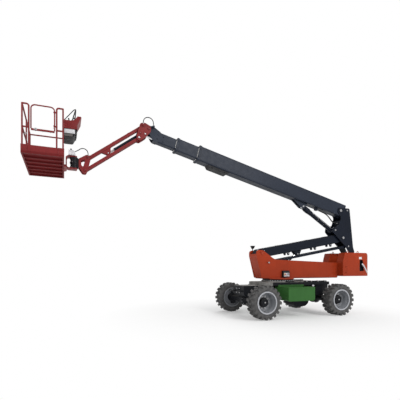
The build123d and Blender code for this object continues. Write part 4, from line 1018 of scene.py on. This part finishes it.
class LIFT_OT_counterweight(bpy.types.Operator):
    """Fit the counterweight with pockets lined in painted shade, bars, plates and lifting eyes"""
    bl_idname = "boom_lift.counterweight"
    bl_label = "Counterweight"

    # The bar across a pocket's corner: x, distance from the middle plane and z
    bar_route = ((-3.085, 0.470, 1.665), (-3.10, 0.487, 1.645), (-3.20, 0.489, 1.515), (-3.31, 0.474, 1.372),
                 (-3.325, 0.450, 1.352))
    back, back_z = -3.5, 1.62

    def execute(self, context):
        weight = Form("counterweight_fittings")
        for side in BOTH:
            # Painted shade: a black sheet in each side pocket.
            self.pocket(weight, side)
            weight.bar([(x, side * y, z) for x, y, z in self.bar_route], 0.024, "panel", 18)
            weight.block((-3.060, -2.930), span(side, 0.480, 0.485), (1.825, 1.905), "panel", 0.002)
            for x in (-2.55, -3.02):
                weight.hoop(0.034, 0.010, "turntable", at(x, side * 0.34, 2.075) @ spin(QUARTER, "X"))
                weight.block(about(x, 0.045), span(side, 0.33, 0.35), (2.048, 2.058), "turntable", 0.003)
            for z in (1.36, 1.56):
                weight.bolt(outward(side, -2.34, 0.48, z), 0.036, "turntable")
        for y in (-0.16, 0.16):
            weight.knob([(0.040, 0.004), (0.046, 0.010), (0.052, 0.008), (0.054, 0.0)], "plastic",
                        aimed((self.back, y, self.back_z), -AHEAD), 32)
            weight.bolt(aimed((self.back - 0.004, y, self.back_z), -AHEAD), 0.034)
        weight.done("turntable", "turntable_orange")
        return {"FINISHED"}

    def pocket(self, weight, side):
        """Black sheet on the floor and walls of a side pocket: painted shade of the recess."""
        form, rings = bmesh.new(), []
        for inset, y in ((-0.001, 0.393), (-0.001, 0.4795), (0.004, 0.4795), (0.004, 0.397)):
            low, high, ahead = 1.400 + inset, 1.800 - inset, -2.960 - inset
            corners = ((ahead, low), (ahead, high), (-3.110 + inset, high), (-3.170 + inset, low))
            rings.append([form.verts.new((x, side * y, z)) for x, z in corners])
        skin(form, rings)
        form.faces.new(rings[0])
        form.faces.new(rings[-1])
        weight.use_up(form, "plastic")


class LIFT_OT_riser(bpy.types.Operator):
    """Fit the riser arm and the upright with pins, clip bolts and cover plates"""
    bl_idname = "boom_lift.riser"
    bl_label = "Riser"

    arm_side, arm_top, upright_side = 0.12, 0.150, 0.20
    # Pins from the upright's foot: x, z, radius and the turn of the keeper plate
    low_pins = ((0.0, 0.0, 0.045), (-0.24, -0.30, 0.030))
    high_pins = ((0.115, 0.97, 0.050, 2.6), (0.366, 0.263, 0.035, 1.2), (-0.183, 0.985, 0.030, None))

    def execute(self, context):
        self.arm(context.scene.boom_lift_sizes.screw, leaning("riser_lift", RISER_TILT))
        upright, foot = Form("upright_pins"), PIVOTS["upright_level"]
        for x, z, radius in self.low_pins:
            for side in BOTH:
                spot = foot + Vector((x, 0.0, z)) + ACROSS * side * (self.upright_side - 0.0005)
                upright.flush_pin(spot, side, radius, 0.0008)
        for x, z, radius, keeper in self.high_pins:
            for side in BOTH:
                spot = foot + Vector((x, 0.0, z)) + ACROSS * side * self.upright_side
                upright.pin_end(spot, side, radius, keeper, "steel", "riser")
        upright.done("upright", "steel")
        return {"FINISHED"}

    def arm(self, screw, place):
        """Cylinder pin, side bolts, welds and top plates of the arm."""
        arm = Form("riser_arm_fittings")
        eye = PIVOTS["riser_lift"] + (place.to_3x3() @ Vector((-1.5, 0.0, -0.260)))
        for side in BOTH:
            arm.pin_end((eye.x, side * 0.060, eye.z), side, 0.030)
            for along in (1.08, 2.22, 2.92):
                arm.bolt(place @ outward(side, -along, self.arm_side, -0.175), 0.020)
            for rise in (0.0, 0.07, -0.07):
                arm.screw(place @ outward(side, -0.16, self.arm_side, rise), screw * 1.6)
            seam = [place @ Vector((-along, side * (self.arm_side + 0.0015), 0.128)) for along in (0.30,
                                                                                                   3.05)]
            arm.tube(seam, 0.004, "riser", 8)
        for along in (0.75, 1.95, 2.75):
            top = self.arm_top + 0.006
            arm.block(about(-along, 0.05), (-0.05, 0.05), (self.arm_top, top), "riser", 0.003, place)
            for shift in (-0.03, 0.03):
                arm.screw(place @ at(-along + shift, 0.0, top), screw)
        arm.done("riser_arm", "boom_slate")


class LIFT_OT_boom(bpy.types.Operator):
    """Fit the boom with wear pads, adjusters, seams, end cover and carrier bolts"""
    bl_idname = "boom_lift.boom"
    bl_label = "Boom"

    # Half width and half height of the sections, and their middle above the boom's pivot
    base, mid, fly, middle_z = (0.160, 0.225), (0.135, 0.190), (0.110, 0.155), 0.045
    tail, tail_handle = -0.222, ((-0.220, -0.05, 0.10), (-0.250, -0.05, 0.10), (-0.262, -0.04, 0.10),
                                 (-0.262, 0.04, 0.10), (-0.250, 0.05, 0.10), (-0.220, 0.05, 0.10))

    def execute(self, context):
        sizes, place = context.scene.boom_lift_sizes, leaning("boom_lift", BOOM_TILT)
        self.base_fittings(sizes, place)
        middle = Form("boom_mid_fittings")
        self.collar(middle, place, 6.335, *self.mid, sizes)
        self.pads(middle, place, 6.37, *self.fly)
        middle.done("boom_mid", "boom_slate")
        fly, pivot = Form("boom_fly_fittings"), PIVOTS["jib_level"]
        for side in BOTH:
            fly.pin_end((pivot.x, side * 0.144, pivot.z), side, 0.035, None, "jib")
            for along, rise in ((6.78, 0.10), (6.78, -0.04), (6.95, 0.10), (6.95, -0.02)):
                fly.bolt(place @ outward(side, along, self.fly[0], rise), 0.022, "boom")
        fly.done("boom_fly", "boom_slate")
        return {"FINISHED"}

    def base_fittings(self, sizes, place):
        base, top = Form("boom_base_fittings"), 0.270
        self.collar(base, place, 5.625, *self.base, sizes)
        self.pads(base, place, 5.66, *self.mid)
        self.seams(base, place, (-0.20, 5.58), *self.base)
        base.block((self.tail, -0.206), (-0.146, 0.146), (-0.166, 0.256), "plastic", 0.006, place)
        for y in (-0.125, 0.125):
            for z in (-0.145, 0.045, 0.235):
                base.screw(place @ aimed((self.tail, y, z), -AHEAD), sizes.screw * 1.3)
        base.bar(self.tail_handle, 0.007, "steel", 12, place)
        for side in BOTH:
            for along in (4.68, 4.90, 5.12):
                base.bolt(place @ outward(side, along, 0.13, -0.220), 0.020, "plastic")
            base.pin_end(place @ Vector((1.513, side * 0.075, -0.302)), side, 0.035)
        for along in (0.6, 2.2, 3.8, 5.3):
            base.block(about(along, 0.06), (-0.06, 0.06), (top, top + 0.007), "boom", 0.003, place)
            for shift in (-0.04, 0.04):
                base.screw(place @ at(along + shift, 0.0, top + 0.007), sizes.screw)
        base.done("boom_base", "boom_slate")

    def collar(self, form, place, along, half_wide, half_high, sizes):
        """Adjusting bolts on all four sides of a section's front collar."""
        share, proud, width = 0.55, 0.015, sizes.bolt * 0.8
        for side in BOTH:
            for rise in (-share, share):
                spot = outward(side, along, half_wide + proud, self.middle_z + rise * half_high)
                form.bolt(place @ spot, width, "boom")
            for shift in (-share, share):
                spot = (along, shift * half_wide, self.middle_z + side * (half_high + proud))
                form.bolt(place @ aimed(spot, UP * side), width, "boom")

    def pads(self, form, place, along, half_wide, half_high):
        """Nylon strips that stand out of a collar round the next section."""
        ahead, gap, thick, bevel = (along - 0.002, along + 0.014), 0.001, 0.013, 0.002
        for side in BOTH:
            rise = sorted((self.middle_z + side * (half_high + gap),
                           self.middle_z + side * (half_high + gap + thick)))
            form.block(ahead, (0.035 - half_wide, half_wide - 0.035), rise, "pad", bevel, place)
            wide = span(side, half_wide + gap, half_wide + gap + thick)
            form.block(ahead, wide, (0.085 - half_high, half_high + 0.005), "pad", bevel, place)

    def seams(self, form, place, ends, half_wide, half_high):
        """The long welds along a section's folds."""
        for side in BOTH:
            for rise in (-1, 1):
                y, z = side * (half_wide + 0.0005), self.middle_z + rise * (half_high - 0.048)
                form.tube([place @ Vector((along, y, z)) for along in ends], 0.003, "boom", 8)


# Cylinders: base and rod eye, barrel's body, its length and radius, rod's radius, reach of its pipe
RAMS = {
    "riser": ((0.62, 1.33), (-0.6224, 1.9971), "riser_barrel", 1.12, 0.060, 0.038, 1.12),
    "lift": ((-2.1404, 2.8598), (-0.8503, 3.6398), "lift_barrel", 1.20, 0.075, 0.048, 1.09),
    "jib": ((4.8593, 5.3184), (5.7273, 4.6832), "jib_barrel", 0.88, 0.037, 0.024, None),
}


class LIFT_OT_rams(bpy.types.Operator):
    """Fit the cylinders with wipers, ports and pipes"""
    bl_idname = "boom_lift.rams"
    bl_label = "Cylinders"

    # The lift rod's sleeve and shield: radius and height along the rod
    sleeve = [(0.049, 0.0), (0.064, 0.0), (0.070, 0.008), (0.070, 0.034), (0.078, 0.042), (0.078, 0.068),
              (0.070, 0.076), (0.049, 0.076)]
    shield = [(0.087, 0.0), (0.093, 0.0), (0.093, 0.155), (0.089, 0.167), (0.068, 0.167), (0.068, 0.161),
              (0.087, 0.155)]
    port = [(0.020, 0.0), (0.020, 0.016), (0.013, 0.018), (0.013, 0.028)]

    def execute(self, context):
        for name, (base, eye, body, reach, barrel, rod, piped) in RAMS.items():
            run = Vector((eye[0] - base[0], 0.0, eye[1] - base[1]))
            place = at(base[0], 0.0, base[1]) @ spin(-math.atan2(run.z, run.x), "Y")
            ram, mouth = Form(f"{name}_ram_fittings"), self.along(place, reach)
            wide, neck, inside = barrel * 0.94, barrel * 0.86, rod + 0.001
            wiper = [(inside, 0.0), (wide, 0.0), (wide, 0.006), (neck, 0.010), (rod + 0.010, 0.010),
                     (rod + 0.007, 0.016), (inside, 0.016)]
            ram.turned(wiper, "steel", mouth, 40, True)
            ram.bolt_ring(mouth @ Vector((0.0, 0.0, 0.008)), mouth.to_3x3() @ UP, (neck + rod) / 2 + 0.002, 8,
                          max(0.007, (barrel - rod) * 0.32))
            for along in (barrel * 2.1, reach - barrel * 1.4):
                ram.hoop(barrel, 0.004, "riser", self.along(place, along), 48)
            if piped:
                self.pipe(ram, place, piped, barrel)
            ram.done(body, "boom_slate")
            if name == "lift":
                self.rod_head(place, run.length)
        return {"FINISHED"}

    def along(self, place, distance):
        """A place on a cylinder's axis, its +Z towards the rod's eye."""
        return place @ aimed((distance, 0.0, 0.0), AHEAD)

    def rod_head(self, place, length):
        """The dark sleeve behind the lift rod's eye, with the shield that slides over the barrel."""
        head = Form("lift_rod_head")
        head.turned(self.sleeve, "riser", self.along(place, length - 0.130), 40, True)
        head.turned(self.shield, "riser", self.along(place, length - 0.292), 40, True)
        head.done("lift_rod", "boom_slate")

    def pipe(self, ram, place, reach, barrel):
        """Ports at both ends, joined by a clipped steel pipe along the barrel."""
        out, first, last = barrel + 0.028, barrel + 0.05, reach - 0.05
        crest = out + 0.006
        for along in (first, last):
            ram.knob(self.port, "steel", place @ aimed((along, barrel * 1.04, 0.0), ACROSS), 6)
        ram.bar(((first, barrel, 0.0), (first, out, 0.0), (first + 0.02, crest, 0.0),
                 (first + 0.06, out, 0.0),
                 (last - 0.06, out, 0.0), (last - 0.02, crest, 0.0), (last, out, 0.0), (last, barrel, 0.0)),
                0.009, "steel", 12, place)
        for share in (0.35, 0.65):
            along = first + share * (last - first)
            ram.block(about(along, 0.018), (barrel - 0.006, out + 0.014), (-0.017, 0.017), "plastic", 0.004,
                      place)
            ram.hoop(barrel + 0.001, 0.003, "steel", self.along(place, along), 48)


class LIFT_OT_jib(bpy.types.Operator):
    """Fit the pins and plates of the jib, and the bolts and screws of the rotator"""
    bl_idname = "boom_lift.jib"
    bl_label = "Jib"

    # Pins from the jib root's pivot: x, z, radius and finish
    root_pins = ((0.185, 0.055, 0.030, "jib"), (0.275, -0.285, 0.030, "steel"),
                 (0.098, -0.161, 0.025, "steel"),
                 (0.245, -0.160, 0.025, "jib"))
    root_side, head_side, arm_top = 0.144, 0.118, 0.045
    turn_x, turn_radius, turn_screws = 6.62, 0.105, 10

    def execute(self, context):
        root, pivot = Form("jib_root_pins"), PIVOTS["jib_level"]
        for x, z, radius, finish in self.root_pins:
            for side in BOTH:
                root.pin_end((pivot.x + x, side * self.root_side, pivot.z + z), side, radius, None, finish)
        root.done("jib_root", "steel")
        arm, place = Form("jib_arm_pins"), leaning("jib_lift", JIB_TILT)
        for side in BOTH:
            arm.flush_pin(place @ Vector((1.251, side * 0.041, -0.138)), side, 0.020, 0.004)
        for along in (0.45, 0.95):
            top = self.arm_top + 0.005
            arm.block(about(along, 0.035), (-0.035, 0.035), (self.arm_top, top), "jib", 0.002, place)
            arm.screw(place @ at(along, 0.0, top), 0.016)
        arm.done("jib_upper", "steel")
        head = Form("jib_head_pins")
        for x, z in ((6.2599, 4.4644), (6.3499, 4.1244)):
            for side in BOTH:
                head.pin_end((x, side * self.head_side, z), side, 0.030, None, "jib")
        for z in (4.23, 4.31, 4.39):
            for y in (-0.065, 0.065):
                head.bolt(aimed((6.485, y, z), -AHEAD), 0.018)
        for z in (4.213, 4.353):
            for index in range(self.turn_screws):
                angle = math.radians(-70 + 140 * index / (self.turn_screws - 1))
                axis = Vector((math.cos(angle), math.sin(angle), 0.0))
                head.screw(aimed(Vector((self.turn_x, 0.0, z - 0.023)) + self.turn_radius * axis, axis),
                           0.015)
        head.done("jib_head", "steel")
        return {"FINISHED"}


class LIFT_OT_platform(bpy.types.Operator):
    """Fit the platform with tread, weld collars, latch, rail clamps and pedal"""
    bl_idname = "boom_lift.platform"
    bl_label = "Platform"

    rear, front, side_y, floor, mid, top = 6.892, 7.768, 0.955, 4.19, 4.75, 5.28
    # Weld collars: radius of the ring and thickness of its bead
    rail_weld, foot_weld, corner_weld = (0.0190, 0.0035), (0.0195, 0.004), (0.0200, 0.004)
    rail_radius = 0.0195
    foot_z, corner_z = 4.196, 4.3375
    lozenge_pitch, lozenge_rows, lozenge_columns = 0.035, 22, 53
    lozenge_foot = ((-0.016, 0.0, 0.0), (0.0, 0.005, 0.0), (0.016, 0.0, 0.0), (0.0, -0.005, 0.0))
    lozenge_ridge = ((-0.010, 0.0, 0.003), (0.0, 0.0026, 0.0035), (0.010, 0.0, 0.003), (0.0, -0.0026, 0.0035))
    pedal_hood = ((6.985, 4.205), (6.985, 4.300), (7.075, 4.300), (7.115, 4.270), (7.110, 4.262),
                  (7.070, 4.290),
                  (6.995, 4.290), (6.995, 4.205))
    # The latch's handle: distance inward from the gate and height above its low rail
    latch_handle = ((0.010, 0.020), (0.040, 0.020), (0.046, 0.026), (0.046, 0.060), (0.040, 0.066),
                    (0.020, 0.066))

    def execute(self, context):
        self.tread()
        self.rail_welds()
        self.fittings()
        self.gate_latch()
        return {"FINISHED"}

    def tread(self):
        """Aluminium tread plate with raised lozenges set in two directions."""
        tread, low = Form("platform_tread"), self.floor + 0.0005
        tread.block((6.948, 7.712), (-0.917, 0.917), (low, low + 0.003), "tread", 0.001)
        lozenge = bmesh.new()
        foot, ridge = ([lozenge.verts.new(point) for point in ring] for ring in (self.lozenge_foot,
                                                                                 self.lozenge_ridge))
        skin(lozenge, [foot, ridge])
        lozenge.faces.new(ridge)
        lozenge.faces.new(foot)
        for row in range(self.lozenge_rows):
            for column in range(self.lozenge_columns):
                turn = math.pi / 4 if (row + column) % 2 else -math.pi / 4
                spot = at(6.962 + self.lozenge_pitch * row, -0.91 + self.lozenge_pitch * column, low + 0.003)
                tread.add(lozenge, "tread", spot @ spin(turn, "Z"))
        lozenge.free()
        tread.done("platform", "steel")

    def rail_welds(self):
        """Weld collars where rails meet posts and posts meet the floor, and the toe boards' bolts."""
        welds = Form("rail_welds")
        corners = [(x, y) for x in (self.rear, self.front) for y in (-self.side_y, self.side_y)]
        for x, y in corners:
            for axis in (ACROSS * (-1 if y > 0 else 1), AHEAD * (1 if x == self.rear else -1)):
                spot = Vector((x, y, self.mid)) + axis * self.rail_radius
                welds.hoop(*self.rail_weld, "jib", aimed(spot, axis), 28)
            welds.hoop(*self.corner_weld, "jib", at(x, y, self.corner_z), 28)
        for x in (self.rear, self.front):
            for z in (self.mid, self.top):
                for side in BOTH:
                    welds.hoop(*self.rail_weld, "jib", aimed((x, side * self.rail_radius, z), ACROSS), 28)
            welds.hoop(*self.foot_weld, "jib", at(x, 0.0, self.foot_z), 28)
        for x, end in ((self.rear + 0.14, -1), (self.front - 0.14, 1)):
            welds.hoop(*self.foot_weld, "jib", at(x, self.side_y, self.foot_z), 28)
            spot = (x + end * self.rail_radius, self.side_y, self.mid)
            welds.hoop(*self.rail_weld, "jib", aimed(spot, AHEAD), 28)
        for x, y in corners:
            for shift in (0.035, 0.095):
                for z in (4.225, 4.300):
                    spot_x = x - 0.027 + shift if x == self.rear else x + 0.027 - shift
                    welds.bolt(outward(math.copysign(1.0, y), spot_x, 1.0, z), 0.016, "jib")
        welds.done("platform", "jib_red")

    def fittings(self):
        """Clamps on the front rail, and the foot pedal under its hood."""
        extras = Form("platform_fittings")
        for y in (-0.55, 0.55):
            spot = Vector((self.front, y, self.mid))
            extras.hoop(0.0215, 0.0045, "steel", aimed(spot, ACROSS), 28)
            extras.hoop(0.020, 0.005, "steel", aimed(spot + Vector((-0.043, 0.0, 0.0)), ACROSS), 28)
        extras.block((6.985, 7.135), (-0.30, -0.10), (4.197, 4.215), "plastic", 0.006)
        hinge = (7.06, -0.20, 4.229)
        tip = at(*hinge) @ spin(0.14, "Y") @ at(*(-value for value in hinge))
        extras.block((7.000, 7.125), (-0.285, -0.115), (4.214, 4.244), "chassis", 0.010, tip)
        for y in (-0.308, -0.098):
            extras.plate([(x, -z) for x, z in self.pedal_hood], 0.006, "chassis",
                         at(0.0, y, 0.0) @ spin(-QUARTER, "X"))
        extras.block((6.985, 7.078), (-0.306, -0.094), (4.290, 4.297), "chassis", 0.002)
        extras.done("platform", "black_plastic")

    def gate_latch(self):
        latch, end, low = Form("gate_latch"), 7.567, 4.69
        latch.block((end - 0.115, end - 0.045), (self.side_y - 0.014, self.side_y + 0.022),
                    (low + 0.010, low + 0.052), "steel", 0.005)
        latch.bar([(end - 0.08, self.side_y - y, low + z) for y, z in self.latch_handle], 0.005, "plastic",
                  12)
        for z in (4.80, 4.86, 5.17):
            latch.hoop(0.016, 0.003, "steel", at(7.093, self.side_y, z), 24)
        for x in (7.17, 7.33, 7.49):
            latch.screw(aimed((x, self.side_y + 0.015, low - 0.02), ACROSS), 0.012)
        latch.done("gate", "jib_red")


class LIFT_OT_controls(bpy.types.Operator):
    """Build the platform's control console"""
    bl_idname = "boom_lift.controls"
    bl_label = "Controls"

    # Outlines seen from the side: x and z
    wedge = [(6.858, 5.2325), (6.640, 5.2325), (6.628, 5.250), (6.640, 5.300), (6.655, 5.308), (6.850, 5.268),
             (6.858, 5.258)]
    cheek = [(6.873, 5.106), (6.873, 5.318), (6.700, 5.318), (6.620, 5.345), (6.540, 5.450), (6.462, 5.452),
             (6.444, 5.434), (6.510, 5.300), (6.548, 5.226), (6.552, 5.106)]
    # The brace from the hoop to the rail: x, distance from the middle plane and z
    brace = ((6.583, 0.235, 5.640), (6.610, 0.262, 5.632), (6.660, 0.268, 5.575), (6.890, 0.268, 5.290))
    grip = [(0.006, 0.034), (0.006, 0.052), (0.014, 0.058), (0.017, 0.080), (0.015, 0.100), (0.019, 0.116),
            (0.016, 0.128), (0.008, 0.134), (0.0, 0.135)]
    gland = [(0.014, 0.030), (0.016, 0.024), (0.022, 0.020), (0.024, 0.0)]
    half_wide, cover, panel_side = 0.262, 0.004, (0.278, 0.286)

    def execute(self, context):
        screw = context.scene.boom_lift_sizes.screw
        self.console(screw)
        self.box_fittings(screw)
        self.guard_cheeks()
        return {"FINISHED"}

    def console(self, screw):
        """The sloping top with its levers, switches and knobs."""
        console, cover = Form("control_console"), self.cover
        console.plate(self.wedge, 2 * self.half_wide, "panel",
                      at(0.0, self.half_wide, 0.0) @ spin(QUARTER, "X"), 0.004)
        slope = Vector((0.040, 0.0, 0.195)).normalized()
        face = at(6.752, 0.0, 5.2885) @ UP.rotation_difference(slope).to_matrix().to_4x4()
        console.block((-0.088, 0.088), (-0.245, 0.245), (0.0, cover), "plastic", 0.003, face)
        for u in (-0.078, 0.078):
            for v in (-0.235, 0.0, 0.235):
                console.screw(face @ at(u, v, cover), screw * 0.7)
        for v in (-0.165, 0.165):
            self.joystick(console, face @ at(-0.02, v, cover))
        stop_button(console, face @ at(0.045, 0.0, cover))
        for v in (-0.075, -0.045, 0.045, 0.075):
            for u in (0.045, -0.035):
                toggle(console, face @ at(u, v, cover) @ spin(QUARTER, "Z"))
        for v in (-0.215, 0.215):
            console.knob([(0.012, 0.022), (0.015, 0.018), (0.016, 0.0)], "plastic",
                         face @ at(0.045, v, cover), 24)
        console.done("platform", "black_plastic")

    def joystick(self, console, place):
        """A lever with its pleated boot and shaped grip."""
        boot = [(0.034, 0.0)]
        for fold in range(4):
            wide, low = 0.032 - 0.006 * fold, 0.004 + 0.008 * fold
            boot += [(wide, low), (wide + 0.001, low + 0.003), (wide - 0.005, low + 0.006)]
        console.knob(boot + [(0.008, 0.038)], "hose", place, 28)
        console.turned(self.grip, "plastic", place, 24)

    def box_fittings(self, screw):
        """Screwed side panels, the case below them and the cable glands behind."""
        box = Form("control_box_fittings")
        for side in BOTH:
            for x, z in ((6.616, 5.085), (6.616, 5.001), (6.847, 5.001), (6.847, 5.085)):
                box.screw(outward(side, x, self.panel_side[1], z), screw * 0.8)
            sheet = span(side, *self.panel_side)
            box.block((6.604, 6.862), sheet, (4.990, 5.096), "panel", 0.004)
            box.block((6.660, 6.862), sheet, (4.910, 4.978), "case", 0.006)
        shell = aimed((6.588, 0.0, 5.005), Vector((-0.19, 0.0, -0.10)).normalized())
        for v in (-0.16, 0.0, 0.16):
            box.knob(self.gland, "plastic", shell @ at(v, 0.0, 0.0), 24)
        box.done("platform", "black_plastic")

    def guard_cheeks(self):
        """Side sheets along the scoop and the braces from its hoop to the rail."""
        guard, thick, bolt_z = Form("guard_cheeks"), 0.006, 5.150
        for side in BOTH:
            guard.plate(self.cheek, thick, "jib", at(0.0, side * 0.293 + thick / 2, 0.0) @ spin(QUARTER, "X"))
            for x in (6.60, 6.72, 6.84):
                guard.block(about(x, 0.012), span(side, 0.279, 0.292), about(bolt_z, 0.012), "steel", 0.002)
                guard.bolt(outward(side, x, 0.296, bolt_z), 0.014, "jib")
            guard.bar([(x, side * y, z) for x, y, z in self.brace], 0.011, "hose", 12)
        guard.done("platform", "jib_red")


class LIFT_PT_panel(bpy.types.Panel):
    """Lists the steps and settings of the boom lift"""
    bl_idname = "LIFT_PT_panel"
    bl_label = "Boom Lift"
    bl_space_type = "VIEW_3D"
    bl_region_type = "UI"
    bl_category = "Boom Lift"

    def draw(self, context):
        layout = self.layout
        for step in STEPS:
            layout.operator(step.bl_idname)
        for group in GROUPS:
            settings = getattr(context.scene, group)
            box = layout.box()
            for name in settings.__annotations__:
                box.prop(settings, name)


GROUPS = {"boom_lift_colours": LiftColours, "boom_lift_sizes": LiftSizes, "boom_lift_stage": LiftStage}
STEPS = (LIFT_OT_stage, LIFT_OT_paint_solids, LIFT_OT_hoses, LIFT_OT_tyres, LIFT_OT_wheels, LIFT_OT_chassis,
         LIFT_OT_battery_trays, LIFT_OT_turntable, LIFT_OT_counterweight, LIFT_OT_riser, LIFT_OT_boom,
         LIFT_OT_rams,
         LIFT_OT_jib, LIFT_OT_platform, LIFT_OT_controls)


def register():
    for cls in (*GROUPS.values(), *STEPS, LIFT_PT_panel):
        bpy.utils.register_class(cls)
    for name, group in GROUPS.items():
        setattr(bpy.types.Scene, name, PointerProperty(type=group))


def unregister():
    for name in GROUPS:
        delattr(bpy.types.Scene, name)
    for cls in (LIFT_PT_panel, *reversed(STEPS), *GROUPS.values()):
        bpy.utils.unregister_class(cls)


def main():
    register()
    for step in STEPS:
        group, name = step.bl_idname.split(".")
        getattr(getattr(bpy.ops, group), name)()


if __name__ == "__main__":
    main()
